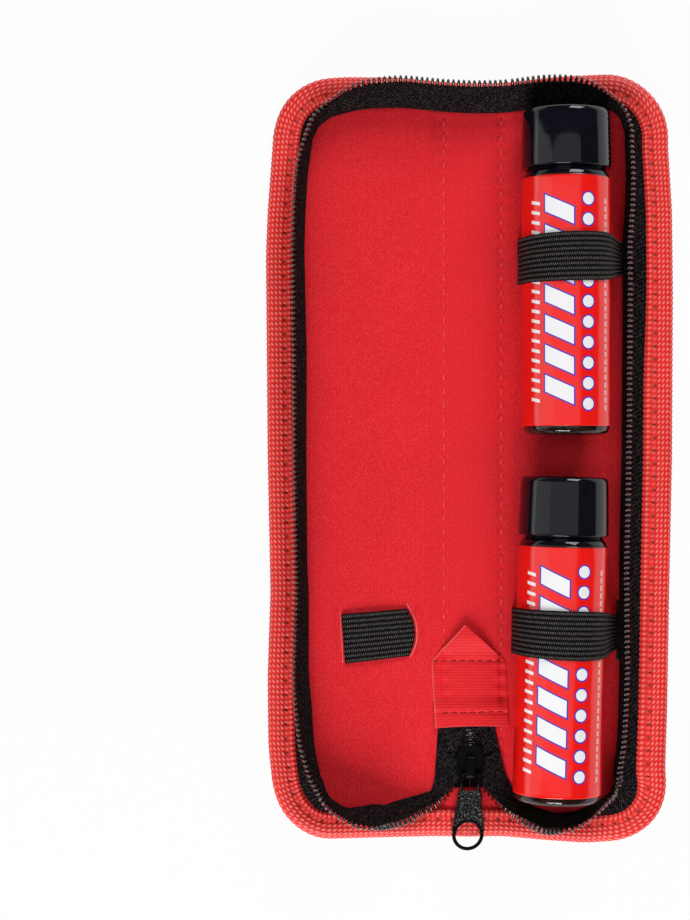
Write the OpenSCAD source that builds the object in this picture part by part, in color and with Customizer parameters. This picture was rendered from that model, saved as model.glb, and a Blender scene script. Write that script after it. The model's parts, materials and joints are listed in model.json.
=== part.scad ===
// Zip-around clamshell carry case, lying open and flat, with two bottles held in elastic loops.
// Millimetres, Z up. Y runs along the spine, X across the open case, and the origin is the middle
// of the spine's underside. The two panels fold up about the spine's edges until the zip meets.

/* [Case] */
// Width of the open case across both panels and the spine
case_width = 115; // [112:1:130]
// Radius of the panels' outer corners
corner_r = 18; // [15:0.5:22]
// Thickness of the grained cover sheet
cover_t = 0.8; // [0.6:0.1:1.2]
// Thickness of the stiff board inside each panel
board_t = 1.4; // [1.2:0.1:2]
// Thickness of the knitted lining
lining_t = 0.8; // [0.6:0.1:1]

/* [Binding] */
// Width of the folded binding tape, from its fold to its edge
binding_w = 9; // [8:0.5:10]
// Thickness of the binding tape
binding_t = 0.8; // [0.6:0.1:1]

/* [Fold] */
// Distance between the two fold lines
fold_span = 21; // [20.5:0.1:22]
// Height of the fold lines above the panels' lining
fold_rise = 3.5; // [3.2:0.1:5]
// Gap between a panel's end and the spine's end
fold_gap = 0.3; // [0.2:0.05:0.5]

/* [Zip] */
// Thickness of the woven zip tape
tape_t = 0.6; // [0.4:0.05:0.8]
// How far the zip coil stands out from the tape
coil_w = 1.9; // [1.4:0.1:2.4]
// Height of the coil along the tape
coil_h = 3.2; // [2.4:0.1:4]
// Half the space left between the two coils when the case is shut
coil_gap = 0.3; // [0.2:0.05:0.6]
// Distance from the middle at which the tape leaves the bottom edge
bridge_x = 20; // [18:0.5:26]
// How far the tape has moved in from the edge where it crosses the fold
bridge_in = 0.9; // [0.6:0.1:1.2]
// Height of the tape above the lining where it crosses the fold
bridge_h = 5; // [3.5:0.25:6]
// Width of the zip tail at its upper end
tail_w = 16.5; // [14:0.5:18]
// Width of the zip tail at its lower end
tail_low_w = 20; // [18:0.5:20.4]
// Distance of the tail's lower end from the edge of the case
tail_end = 15.2; // [15:0.1:16]
// Length of the folded hem at the tail's lower end
tail_hem = 1.2; // [0.8:0.1:1.6]
// Length of the folded hem at the tail's upper end
tail_fold = 5.9; // [4:0.1:7]
// Width of the closed coil chain on the tail
chain_w = 3.2; // [2.6:0.1:3.6]
// Thickness of the coil chain
chain_h = 1.2; // [1:0.05:1.4]

/* [Zip wall] */
// How far the wall's free edge leans out along the top
lean_top = 5.3; // [4:0.1:5.6]
// How far the right wall's free edge leans in along its side
lean_right = 4.7; // [3.5:0.1:5]
// How far the left wall's free edge leans out along its side
lean_left = 1.3; // [1:0.1:3]
// How far the right wall leans in at its lower corner
fall_right = 6; // [4:0.1:6.2]
// How far the left wall leans in at its lower corner
fall_left = 4.2; // [3:0.1:5]
// How far the wall leans out where the tape leaves the bottom edge
lean_low = 3.3; // [2:0.1:3.6]
// How far the side walls sag inwards half way up
sag = 1.4; // [0.5:0.1:1.6]
// Length of tape left standing where it leaves the bottom edge
low_wall = 9.6; // [8:0.1:11]
// Height over which the tape stands straight beside the binding
wall_foot = 1.2; // [1:0.1:1.5]

/* [Slider] */
// Width of the slider body
slider_w = 7.7; // [7.2:0.1:8.4]
// Width of the slider's narrow end
slider_top_w = 6.6; // [6.2:0.1:7]
// Length of the slider body
slider_l = 9.5; // [9:0.1:10]
// Distance of the slider's round end from the edge of the case
slider_end = 17; // [17:0.1:18]
// Thickness of the slider's lower wing
wing_t = 0.4; // [0.3:0.05:0.5]
// Thickness of the slider's upper wing
deck_t = 0.7; // [0.5:0.05:0.9]
// Thickness of the slider's side flanges
flange_t = 0.9; // [0.7:0.05:1]
// Clearance between the slider and the tape or lining
slider_play = 0.1; // [0.08:0.01:0.15]
// Clearance between the slider and the coil chain
chain_play = 0.3; // [0.25:0.05:0.45]
// Half width of the post between the two coils
post_x = 0.7; // [0.5:0.05:0.8]
// Length of the post between the two coils
post_l = 2; // [1.5:0.1:2.4]
// Width of the crown over the pull's bar
crown_w = 2.4; // [2:0.1:2.8]
// Thickness of the crown
crown_t = 0.6; // [0.5:0.05:0.8]
// Length of the crown
crown_l = 6.4; // [5.5:0.1:7]
// How far the slider can travel towards the ribbon
slider_run = 4.5; // [3:0.25:5]

/* [Pull] */
// Radius of the bar that hangs in the crown
bar_r = 0.5; // [0.4:0.05:0.6]
// Clearance round the bar
bar_play = 0.3; // [0.3:0.05:0.4]
// Width of the pull at the slider end
pull_w = 7; // [6.4:0.1:7.6]
// Width of the pull at the ring end
pull_ring_w = 8.6; // [8.4:0.1:9.4]
// Radius of the hole in the pull's ring
pull_hole_r = 3.65; // [3:0.05:3.7]
// Thickness of the pull
pull_t = 1.1; // [0.9:0.05:1.2]
// Distance from the bar to the middle of the ring
pull_l = 17.3; // [15:0.1:20]
// Distance from the bar to the end of the slot for the crown
pull_slot = 4.8; // [4.7:0.1:5.5]

/* [Ribbon] */
// Width of the ribbon patch over the tail
ribbon_w = 20; // [18:0.25:20.4]
// Thickness of the ribbon
ribbon_t = 0.6; // [0.4:0.05:0.8]
// Distance of the ribbon's tip from the lower edge of the case
ribbon_tip = 60.6; // [56:0.2:66]
// Length of the ribbon's pointed part
ribbon_point = 10; // [8:0.5:14]
// Length of the whole ribbon
ribbon_l = 29; // [27:0.25:29.2]

/* [Loops] */
// Width of the elastic
loop_w = 13.6; // [10:0.2:18]
// Thickness of the elastic
loop_t = 0.9; // [0.6:0.05:1.1]
// Clearance between a bottle and its loop
loop_play = 0.35; // [0.3:0.05:0.5]
// Clearance of an elastic in its slit
slit_play = 0.2; // [0.1:0.05:0.3]
// Upper loop's place along its bottle
upper_loop_at = 3.3; // [-10:0.1:10]
// Lower loop's place along its bottle
lower_loop_at = 2.3; // [-10:0.1:10]
// Distance of the upper loop's outer slit from its bottle's axis
upper_slit = 18.2; // [16:0.1:18.6]
// Distance of the lower loop's outer slit from its bottle's axis
lower_slit = 17.6; // [16:0.1:19]
// Spare loop's distance from the middle of the case
spare_x = 25.8; // [24:0.2:30]
// Spare loop's place along the case, from the lower bottle's middle
spare_at = 0.1; // [-20:0.1:60]
// Length of the spare loop
spare_l = 21; // [18:0.5:23]
// Slant of the spare loop in degrees
spare_tilt = 4; // [0:0.5:6]

/* [Bottles] */
// Diameter of a bottle over its sleeve
bottle_d = 24.6; // [22:0.1:25]
// Thickness of the glass
glass_t = 1.3; // [1:0.1:2]
// Thickness of the printed sleeve
sleeve_t = 0.35; // [0.2:0.05:0.5]
// Height of bare glass below the sleeve
base_h = 2.4; // [1.5:0.1:4]
// Height of the sleeve
sleeve_h = 69; // [60:0.2:72]
// Height of the seal round the neck
seal_h = 3.6; // [2:0.1:4]
// Height of the screw cap
cap_h = 15.5; // [12:0.1:16]
// Diameter of the glass neck
neck_d = 16; // [13:0.2:18]
// Clearance of the cap and its seal round the neck
neck_play = 0.15; // [0.1:0.05:0.3]
// Upper bottle's distance from the middle of the case
upper_x = 26; // [26:0.1:28]
// Lower bottle's distance from the middle of the case
lower_x = 24.6; // [24.6:0.1:27]
// Slant of the lower bottle in degrees
lower_tilt = 1.2; // [0:0.1:1.2]
// Clearance between a bottle and the lining
rest_play = 0.3; // [0.3:0.05:0.5]
// Space along the case between the two bottles
bottle_gap = 11.3; // [7.5:0.1:30]
// Space between the upper bottle's cap and the zip wall
upper_gap = 1.25; // [1:0.05:10]
// Space between the lower bottle's base and the zip wall
lower_gap = 2.65; // [2.6:0.05:10]

/* [Seams] */
// Clearance between the binding's edge and the pieces beside it
seam = 0.3; // [0.2:0.05:0.4]
// Clearance of the sewn layers inside the binding's fold
tuck = 0.2; // [0.1:0.05:0.4]
// Width of the step where a sheet rises into the binding
step_w = 1; // [0.8:0.1:1.2]

/* [Hidden] */
$fn = 96;
half_w = case_width / 2;
fold_x = fold_span / 2;
panel_x = fold_x + fold_gap / 2;
spine_x = fold_x - fold_gap / 2;

// heights of the layers in the middle of a panel
z_board = cover_t;
z_lining = cover_t + board_t;
z_floor = z_lining + lining_t;
z_spine = cover_t + lining_t;
z_fold = z_floor + fold_rise;

// heights of the layers inside the binding's fold
e_cover = binding_t;
e_lining = e_cover + cover_t;
e_tape = e_lining + lining_t;
e_top = e_tape + tape_t;
binding_h = e_top + binding_t;

// distances in from the outer edge
in_edge = binding_t + tuck;
in_plate = binding_w + seam;
in_wall = binding_w + seam;
in_step = in_plate + step_w;
in_lining = in_wall + tape_t + seam;
in_lining_step = in_lining + step_w * 0.6;
in_board = max(in_lining_step, in_step) + seam;
in_spine_lining = in_step + seam;

// the case is as long as its two bottles, the spaces round them and the edges
bottle_r = bottle_d / 2;
bottle_l = base_h + sleeve_h + seal_h + cap_h;
in_space = in_wall + tape_t;
case_length = 2 * bottle_l + bottle_gap + upper_gap + lower_gap + 2 * in_space;
half_l = case_length / 2;
upper_y = half_l - in_space - upper_gap - bottle_l / 2;
lower_y = -half_l + in_space + lower_gap + bottle_l / 2;
spare_y = lower_y + spare_at;

// the standing zip wall stops a little short of the shut case's middle plane
wall_top = z_floor + fold_x + fold_rise - coil_gap;
wall_y = half_l - in_wall - tape_t / 2;
wall_l = wall_top - e_top;
z_lean = e_top + wall_foot;
low_top = z_lean + sqrt((low_wall - wall_foot) ^ 2 - lean_low ^ 2);

// the wall's path, measured along its outer foot from the middle of the top edge
top_run = half_w - corner_r;
side_run = 2 * (half_l - corner_r);
bend_r = corner_r - in_wall;
bend_run = bend_r * PI / 2;
at_side = top_run + bend_run;
at_low = at_side + side_run;
at_end = at_low + bend_run + top_run;

// the wall's lean outwards by its place along the path
leans_right = [
  [top_run - 10, lean_top], [top_run + 2, 0], [at_side, -0.6 * lean_right], [at_side + 25, -lean_right],
  [at_low - 18, -lean_right], [at_low + bend_run / 2, -fall_right], [at_low + bend_run, -0.4 * fall_right],
  [at_end - 36.5, 0], [at_end - 27, 1.2 * lean_low], [at_end - bridge_x, lean_low]
];
leans_left = [
  [top_run - 12, lean_top], [top_run + bend_run / 2, 0.8 * lean_left], [at_side + 25, lean_left],
  [at_low - 30, lean_left], [at_low, 0.2 * lean_left], [at_low + bend_run / 2, -fall_left],
  [at_low + bend_run, -0.4 * fall_left], [at_end - 34, 0.5 * lean_low], [at_end - 29, 1.1 * lean_low],
  [at_end - bridge_x, lean_low]
];
sags = [[top_run, 0], [at_side + 20, sag], [at_low - 15, sag], [at_low + bend_run, 0]];
lengths = [[at_end - 28, wall_l], [at_end - bridge_x, low_wall]];

// places of the wall's cross-sections: close together where it bends
stations = concat(
  [panel_x, top_run - 10, top_run - 4],
  [for (k = [0:6]) top_run + bend_run * k / 6],
  [for (k = [1:9]) at_side + side_run * k / 10],
  [for (k = [0:6]) at_low + bend_run * k / 6],
  [at_end - 36.5, at_end - 32, at_end - 28, at_end - 24, at_end - bridge_x]
);

// the slider's layers above the spine lining
z_wing = z_spine + slider_play;
z_tail = z_wing + wing_t + slider_play;
z_chain = z_tail + tape_t;
z_deck = z_chain + chain_h + chain_play;
z_crown = z_deck + deck_t;
z_bar = z_crown + bar_r + bar_play;
z_crown_in = z_bar + bar_r + bar_play;
z_crown_top = z_crown_in + crown_t;

slider_low = -half_l + slider_end;
slider_high = slider_low + slider_l;
tail_low = -half_l + tail_end;
crown_low = slider_low + 0.4;
bar_y = crown_low + crown_t + bar_r + bar_play;
post_high = slider_low + 0.3 + post_l;
split_y = post_high + slider_run + 0.4;
split_x = post_x + chain_play;

ribbon_top_y = -half_l + ribbon_tip;
ribbon_side_y = ribbon_top_y - ribbon_point;
ribbon_end_y = ribbon_top_y - ribbon_l;
tail_high = slider_high + slider_run + 1.1 + tail_fold;

bottle_z = z_floor + rest_play + bottle_r;
loop_in = bottle_r + loop_play;
loop_out = loop_in + loop_t;
glass_r = bottle_r - sleeve_t;
neck_r = neck_d / 2;
shoulder_y = base_h + sleeve_h;
spare_z = z_floor + 0.2;

// outline of the right panel, drawn in by a distance from the outer edge and cut off at x0
module half_outline(inset, x0) {
  translate([x0, inset - half_l])
    square([half_w - corner_r - x0, 2 * (half_l - inset)]);
  translate([x0, corner_r - half_l])
    square([half_w - inset - x0, 2 * (half_l - corner_r)]);
  for (s = [-1, 1])
    translate([half_w - corner_r, s * (half_l - corner_r)])
      circle(r = corner_r - inset);
}

// strip of the right panel between two distances from the outer edge
module half_strip(outer, inner) {
  difference() {
    half_outline(outer, panel_x);
    half_outline(inner, panel_x - 1);
  }
}

// strips across the spine between two distances from its ends
module spine_strips(outer, inner) {
  for (s = [0, 1])
    mirror([0, s])
      translate([-spine_x, half_l - inner])
        square([2 * spine_x, inner - outer]);
}

// carries a profile (distance in, height) round the right panel's edge
module edge_path() {
  run = half_w - corner_r;
  side = half_l - corner_r;
  translate([run, half_l, 0])
    rotate([90, 0, -90])
      linear_extrude(run - panel_x)
        children();
  translate([half_w, -side, 0])
    rotate([90, 0, 180])
      linear_extrude(2 * side)
        children();
  translate([panel_x, -half_l, 0])
    rotate([90, 0, 90])
      linear_extrude(run - panel_x)
        children();
  translate([run, side, 0])
    rotate_extrude(angle = 90)
      translate([corner_r, 0])
        mirror([1, 0])
          children();
  translate([run, -side, 0])
    rotate([0, 0, -90])
      rotate_extrude(angle = 90)
        translate([corner_r, 0])
          mirror([1, 0])
            children();
}

// carries a profile across the spine's upper end
module spine_path() {
  translate([spine_x, half_l, 0])
    rotate([90, 0, -90])
      linear_extrude(2 * spine_x)
        children();
}

module binding_profile() {
  difference() {
    union() {
      translate([binding_h / 2, binding_h / 2])
        circle(r = binding_h / 2);
      translate([binding_h / 2, 0])
        square([binding_w - binding_h / 2, binding_h]);
    }
    translate([binding_t, binding_t])
      square([binding_w, binding_h - 2 * binding_t]);
  }
}

// direction in degrees that the wall's path faces, and its point
function facing(s) =
  90 * (min(max((s - top_run) / bend_run, 0), 1) + min(max((s - at_low) / bend_run, 0), 1));
function foot(s) = [
  min(s, top_run, at_end - s) + bend_r * sin(facing(s)),
  side_run / 2 - min(max(s - at_side, 0), side_run) + bend_r * cos(facing(s))
];

// section of the tape (distance out from the wall's foot, height): the sewn edge and the leaning wall
function tape_points(lean, dip, length) =
  let (
    free = length - wall_foot,
    rise = sqrt(free ^ 2 - lean ^ 2),
    coil_low = 1 - coil_h / free,
    outer = [for (v = [0, 0.4, coil_low, 1]) [lean * v - 4 * dip * v * (1 - v), z_lean + rise * v]],
    inner = [for (k = [3:-1:0]) outer[k] - [tape_t, 0]]
  ) concat(
    [[in_wall - in_edge, e_tape], [in_wall - in_edge, e_top], [0, e_top]], outer, inner, [[-tape_t, e_tape]]
  );

// section of the coil, which lies on the wall's outer face along its free edge
function coil_points(lean, dip, length) =
  let (
    tape = tape_points(lean, dip, length),
    low = tape[5],
    high = tape[6],
    up = (high - low) / norm(high - low),
    out = [up.y, -up.x] * coil_w
  ) [
    high, low, low + 0.6 * out, low + 0.3 * coil_w * up + out, high - 0.3 * coil_w * up + out,
    high + 0.6 * out
  ];

// carries a row of sections along the wall's path; the coil's facets meet the tape's along the same lines
function placed(s, points) = [
  for (p = points) [foot(s).x + p[0] * sin(facing(s)), foot(s).y + p[0] * cos(facing(s)), p[1]]
];
module wall_skin(leans, coil) {
  sections = [
    for (s = stations)
      let (lean = lookup(s, leans), dip = lookup(s, sags), length = lookup(s, lengths))
        placed(s, coil ? coil_points(lean, dip, length) : tape_points(lean, dip, length))
  ];
  n = len(sections[0]);
  last = (len(sections) - 1) * n;
  sides = [
    for (i = [0:n:last - n], j = [0:n - 1])
      let (a = i + j, b = i + (j + 1) % n, c = b + n, d = a + n)
        each coil ? [[a, d, b], [b, d, c]] : [[a, d, c], [a, c, b]]
  ];
  polyhedron(
    points = [for (section = sections) each section],
    faces = concat([[for (j = [0:n - 1]) j]], [[for (j = [n - 1:-1:0]) last + j]], sides)
  );
}

module tape_profile() {
  polygon([for (p = tape_points(lean_top, 0, wall_l)) [in_wall - p[0], p[1]]]);
}

module coil_profile() {
  polygon([for (p = coil_points(lean_top, 0, wall_l)) [in_wall - p[0], p[1]]]);
}

module panel_cover() {
  linear_extrude(cover_t)
    half_outline(in_plate, panel_x);
  linear_extrude(e_lining)
    half_strip(in_plate, in_step);
  translate([0, 0, e_cover])
    linear_extrude(cover_t)
      half_strip(in_edge, in_step);
}

module panel_board() {
  translate([0, 0, z_board])
    linear_extrude(board_t)
      half_outline(in_board, panel_x + seam);
}

module panel_lining() {
  translate([0, 0, z_lining])
    linear_extrude(lining_t)
      half_outline(in_lining, panel_x);
  translate([0, 0, e_lining])
    linear_extrude(z_floor - e_lining)
      half_strip(in_lining, in_lining_step);
  translate([0, 0, e_lining])
    linear_extrude(lining_t)
      half_strip(in_edge, in_lining_step);
}

// slanting leg of a loop: the angle of its face's normal, from the slit's distance
function leg_angle(slit) =
  atan2(z_lining - bottle_z, slit) + acos(loop_out / norm([slit, z_lining - bottle_z]));

// how far out a loop's slanting inner face stands at a height
function leg_x(slit, r, z) =
  (r - (z - bottle_z) * sin(leg_angle(slit))) / cos(leg_angle(slit));

// outline of a loop's inside or outside, with its bottle's axis at x = 0
module loop_side(r, slit, z) {
  a = leg_angle(slit);
  translate([0, bottle_z])
    circle(r = r);
  polygon([
    [-r, bottle_z],
    [-r, z],
    [leg_x(slit, r, z), z],
    [r * cos(a), bottle_z + r * sin(a)],
    [0, bottle_z]
  ]);
}

module loop(slit, at) {
  translate([0, at + loop_w / 2, 0])
    rotate([90, 0, 0])
      linear_extrude(loop_w)
        difference() {
          loop_side(loop_out, slit, z_lining);
          loop_side(loop_in, slit, z_lining - 1);
        }
}

// the pair of slits that a loop's legs pass through
module loop_slits(slit, at) {
  low = leg_x(slit, loop_in, z_floor);
  high = leg_x(slit, loop_out, z_lining);
  translate([-loop_out - slit_play, at - loop_w / 2 - slit_play, z_lining - 1])
    cube([loop_t + 2 * slit_play, loop_w + 2 * slit_play, lining_t + 2]);
  translate([low - slit_play, at - loop_w / 2 - slit_play, z_lining - 1])
    cube([high - low + 2 * slit_play, loop_w + 2 * slit_play, lining_t + 2]);
}

module at_upper() {
  translate([upper_x, upper_y, 0])
    children();
}

module at_lower() {
  translate([lower_x, lower_y, 0])
    rotate([0, 0, -lower_tilt])
      children();
}

module at_spare() {
  translate([-spare_x, spare_y, 0])
    rotate([0, 0, spare_tilt])
      children();
}

// lays a bottle piece down along Y with its base at the lower end
module lying() {
  translate([0, -bottle_l / 2, bottle_z])
    rotate([-90, 0, 0])
      children();
}

module cover_right() {
  color([0.09, 0.09, 0.09])
    panel_cover();
}

module cover_left() {
  color([0.09, 0.09, 0.09])
    mirror([1, 0, 0])
      panel_cover();
}

module cover_spine() {
  color([0.09, 0.09, 0.09]) {
    linear_extrude(cover_t)
      square([2 * spine_x, 2 * (half_l - in_plate)], center = true);
    linear_extrude(e_lining)
      spine_strips(in_plate, in_step);
    translate([0, 0, e_cover])
      linear_extrude(cover_t)
        spine_strips(in_edge, in_step);
  }
}

module board_right() {
  color([0.6, 0.58, 0.54])
    panel_board();
}

module board_left() {
  color([0.6, 0.58, 0.54])
    mirror([1, 0, 0])
      panel_board();
}

module lining_right() {
  color([0.82, 0.1, 0.13])
    difference() {
      panel_lining();
      at_upper()
        loop_slits(upper_slit, upper_loop_at);
      at_lower()
        loop_slits(lower_slit, lower_loop_at);
    }
}

module lining_left() {
  color([0.82, 0.1, 0.13])
    difference() {
      mirror([1, 0, 0])
        panel_lining();
      at_spare()
        for (s = [-1, 1])
          translate([s * (spare_l - loop_t) / 2, 0, z_lining + lining_t / 2])
            cube([loop_t + 2 * slit_play, loop_w + 2 * slit_play, lining_t + 2], center = true);
    }
}

module lining_spine() {
  color([0.82, 0.1, 0.13]) {
    translate([0, 0, cover_t])
      linear_extrude(lining_t)
        square([2 * spine_x, 2 * (half_l - in_spine_lining)], center = true);
    translate([0, 0, cover_t])
      linear_extrude(e_tape - cover_t)
        spine_strips(in_spine_lining, in_spine_lining + step_w);
    translate([0, 0, e_lining])
      linear_extrude(lining_t)
        spine_strips(in_edge, in_spine_lining + step_w);
  }
}

module binding_right() {
  color([0.86, 0.12, 0.15])
    edge_path()
      binding_profile();
}

module binding_left() {
  color([0.86, 0.12, 0.15])
    mirror([1, 0, 0])
      edge_path()
        binding_profile();
}

module binding_spine_top() {
  color([0.86, 0.12, 0.15])
    spine_path()
      binding_profile();
}

module binding_spine_bottom() {
  color([0.86, 0.12, 0.15])
    mirror([0, 1, 0])
      spine_path()
        binding_profile();
}

module zip_tape_right() {
  color([0.07, 0.07, 0.07])
    wall_skin(leans_right, coil = false);
}

module zip_tape_left() {
  color([0.07, 0.07, 0.07])
    mirror([1, 0, 0])
      wall_skin(leans_left, coil = false);
}

// the tape across the spine's upper end, which folds flat as the case shuts
module zip_tape_spine() {
  color([0.07, 0.07, 0.07])
    spine_path()
      tape_profile();
}

module zip_coil_right() {
  color([0.04, 0.04, 0.04])
    wall_skin(leans_right, coil = true);
}

module zip_coil_left() {
  color([0.04, 0.04, 0.04])
    mirror([1, 0, 0])
      wall_skin(leans_left, coil = true);
}

module zip_coil_spine() {
  color([0.04, 0.04, 0.04])
    spine_path()
      coil_profile();
}

// the tape's run from the bottom edge to the fold, sinking as it goes
module bridge() {
  hull() {
    translate([bridge_x - tape_t, -wall_y - tape_t / 2, z_floor])
      cube([tape_t, tape_t, wall_foot]);
    translate([bridge_x - tape_t, -wall_y - tape_t / 2 - lean_low, low_top - tape_t])
      cube([tape_t, tape_t, tape_t]);
    translate([panel_x, -wall_y + bridge_in - tape_t / 2, z_floor])
      cube([tape_t, tape_t, bridge_h]);
  }
}

module zip_bridge_right() {
  color([0.07, 0.07, 0.07])
    bridge();
}

module zip_bridge_left() {
  color([0.07, 0.07, 0.07])
    mirror([1, 0, 0])
      bridge();
}

// the tape's run over the spine from the fold to the slider's mouth
module fork() {
  hull() {
    translate([spine_x - tape_t, -wall_y + bridge_in - tape_t / 2, e_tape])
      cube([tape_t, tape_t, z_fold - 0.5 - e_tape]);
    translate([slider_w / 2 + 0.5, tail_low - 0.9, e_tape])
      cube([tape_t, tape_t, z_deck - e_tape]);
  }
}

module zip_fork_right() {
  color([0.07, 0.07, 0.07])
    fork();
}

module zip_fork_left() {
  color([0.07, 0.07, 0.07])
    mirror([1, 0, 0])
      fork();
}

// the tail's tape is folded under at both ends, and the slider's lower wing runs between the folds
module zip_tail_tape() {
  color([0.07, 0.07, 0.07])
    difference() {
      union() {
        translate([0, 0, z_tail])
          linear_extrude(tape_t)
            polygon([
              [-tail_w / 2, tail_high],
              [tail_w / 2, tail_high],
              [tail_low_w / 2, tail_low],
              [-tail_low_w / 2, tail_low]
            ]);
        translate([-tail_w / 2, tail_high - tail_fold, z_spine])
          cube([tail_w, tail_fold, z_chain - z_spine]);
        translate([-tail_w / 2, tail_low, z_spine])
          cube([tail_w, tail_hem, z_chain - z_spine]);
      }
      translate([-split_x, tail_low - 1, z_spine - 1])
        cube([2 * split_x, split_y - tail_low + 1, z_chain - z_spine + 2]);
    }
}

module zip_tail_chain() {
  color([0.04, 0.04, 0.04])
    translate([0, 0, z_chain]) {
      translate([-chain_w / 2, split_y, 0])
        cube([chain_w, ribbon_end_y - seam - split_y, chain_h]);
      for (s = [0, 1])
        mirror([s, 0, 0])
          translate([split_x, tail_low, 0])
            cube([chain_w / 2, split_y + 1 - tail_low, chain_h]);
    }
}

// plan of the slider, narrow at its closed end and round at its mouth
module slider_plan() {
  translate([0, slider_low + slider_w / 2])
    circle(r = slider_w / 2);
  polygon([
    [-slider_top_w / 2, slider_high],
    [slider_top_w / 2, slider_high],
    [slider_w / 2, slider_low + slider_w / 2],
    [-slider_w / 2, slider_low + slider_w / 2]
  ]);
}

module slider_body() {
  color([0.05, 0.05, 0.05]) {
    translate([0, 0, z_wing])
      linear_extrude(wing_t)
        slider_plan();
    translate([0, 0, z_deck])
      linear_extrude(deck_t)
        slider_plan();
    difference() {
      translate([0, 0, z_chain + chain_play])
        linear_extrude(z_deck + deck_t - z_chain - chain_play)
          slider_plan();
      translate([flange_t - slider_w / 2, slider_low - 1, z_chain])
        cube([slider_w - 2 * flange_t, slider_l + 2, z_deck - z_chain]);
    }
    translate([-post_x, post_high - post_l, z_wing])
      cube([2 * post_x, post_l, z_deck + deck_t - z_wing]);
    difference() {
      translate([-crown_w / 2, crown_low, z_deck])
        cube([crown_w, crown_l, z_crown_top - z_deck]);
      translate([-crown_w, crown_low + crown_t, z_crown])
        cube([2 * crown_w, crown_l - 2 * crown_t, z_crown_in - z_crown]);
    }
  }
}

// the pull lies out over the edge, its slot round the crown and its bar inside it
module pull_tab() {
  slot_x = crown_w / 2 + bar_play;
  ring_y = bar_y - pull_l;
  color([0.05, 0.05, 0.05]) {
    translate([-pull_w / 2, bar_y, z_bar])
      rotate([0, 90, 0])
        cylinder(h = pull_w, r = bar_r);
    translate([0, 0, z_bar - pull_t / 2])
      linear_extrude(pull_t)
        difference() {
          union() {
            polygon([
              [-pull_w / 2, bar_y],
              [pull_w / 2, bar_y],
              [pull_ring_w / 2, ring_y],
              [-pull_ring_w / 2, ring_y]
            ]);
            translate([0, ring_y])
              circle(r = pull_ring_w / 2);
          }
          translate([0, ring_y])
            circle(r = pull_hole_r);
          translate([-slot_x, bar_y - pull_slot])
            square([2 * slot_x, pull_slot + 1]);
        }
  }
}

// a ribbon with a pointed end, sewn down over the tail's upper fold
module ribbon_patch() {
  rise_y = tail_high + 0.1;
  color([0.85, 0.1, 0.14]) {
    translate([0, 0, z_spine])
      linear_extrude(ribbon_t)
        polygon([
          [0, ribbon_top_y],
          [ribbon_w / 2, ribbon_side_y],
          [ribbon_w / 2, rise_y],
          [-ribbon_w / 2, rise_y],
          [-ribbon_w / 2, ribbon_side_y]
        ]);
    translate([-ribbon_w / 2, rise_y, z_spine])
      cube([ribbon_w, ribbon_t, z_chain + ribbon_t - z_spine]);
    translate([-ribbon_w / 2, ribbon_end_y, z_chain])
      cube([ribbon_w, rise_y + ribbon_t - ribbon_end_y, ribbon_t]);
  }
}

module loop_upper() {
  color([0.1, 0.1, 0.1])
    at_upper()
      loop(upper_slit, upper_loop_at);
}

module loop_lower() {
  color([0.1, 0.1, 0.1])
    at_lower()
      loop(lower_slit, lower_loop_at);
}

// the empty loop lies flat, with both ends going down into slits
module loop_spare() {
  color([0.1, 0.1, 0.1])
    at_spare() {
      translate([-spare_l / 2, -loop_w / 2, spare_z])
        cube([spare_l, loop_w, loop_t]);
      for (s = [-1, 1])
        translate([s * (spare_l - loop_t) / 2 - loop_t / 2, -loop_w / 2, z_lining])
          cube([loop_t, loop_w, spare_z + loop_t - z_lining]);
    }
}

module glass() {
  lying()
    rotate_extrude()
      polygon([
        [0, 0],
        [glass_r - 1, 0],
        [glass_r, 1],
        [glass_r, shoulder_y - 2],
        [glass_r - 1.5, shoulder_y],
        [neck_r, shoulder_y],
        [neck_r, bottle_l - 2],
        [neck_r - glass_t, bottle_l - 2],
        [neck_r - glass_t, shoulder_y - glass_t],
        [glass_r - 1.5 - glass_t, shoulder_y - glass_t - 0.5],
        [glass_r - glass_t, shoulder_y - 3 - glass_t],
        [glass_r - glass_t, 2.5],
        [0, 2.5]
      ]);
}

module sleeve() {
  lying()
    rotate_extrude()
      polygon([
        [glass_r, base_h],
        [bottle_r, base_h],
        [bottle_r, shoulder_y - 2],
        [bottle_r - 1.5, shoulder_y],
        [glass_r - 1.5, shoulder_y],
        [glass_r, shoulder_y - 2]
      ]);
}

module seal() {
  lying()
    translate([0, 0, shoulder_y])
      difference() {
        cylinder(h = seal_h, r = glass_r - 1.6);
        translate([0, 0, -1])
          cylinder(h = seal_h + 2, r = neck_r + neck_play);
      }
}

module cap() {
  lying()
    translate([0, 0, shoulder_y + seal_h])
      difference() {
        union() {
          cylinder(h = cap_h - 1, r = bottle_r);
          cylinder(h = cap_h, r = bottle_r - 1);
          translate([0, 0, cap_h - 1])
            rotate_extrude()
              translate([bottle_r - 1, 0])
                intersection() {
                  circle(r = 1);
                  square(2);
                }
        }
        translate([0, 0, -1])
          cylinder(h = cap_h - 0.7, r = neck_r + neck_play);
      }
}

module upper_glass() {
  color([0.45, 0.25, 0.1])
    at_upper()
      glass();
}

module upper_sleeve() {
  color([0.9, 0.15, 0.12])
    at_upper()
      sleeve();
}

module upper_seal() {
  color([0.05, 0.05, 0.05])
    at_upper()
      seal();
}

module upper_cap() {
  color([0.06, 0.06, 0.06])
    at_upper()
      cap();
}

module lower_glass() {
  color([0.45, 0.25, 0.1])
    at_lower()
      glass();
}

module lower_sleeve() {
  color([0.9, 0.15, 0.12])
    at_lower()
      sleeve();
}

module lower_seal() {
  color([0.05, 0.05, 0.05])
    at_lower()
      seal();
}

module lower_cap() {
  color([0.06, 0.06, 0.06])
    at_lower()
      cap();
}

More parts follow.
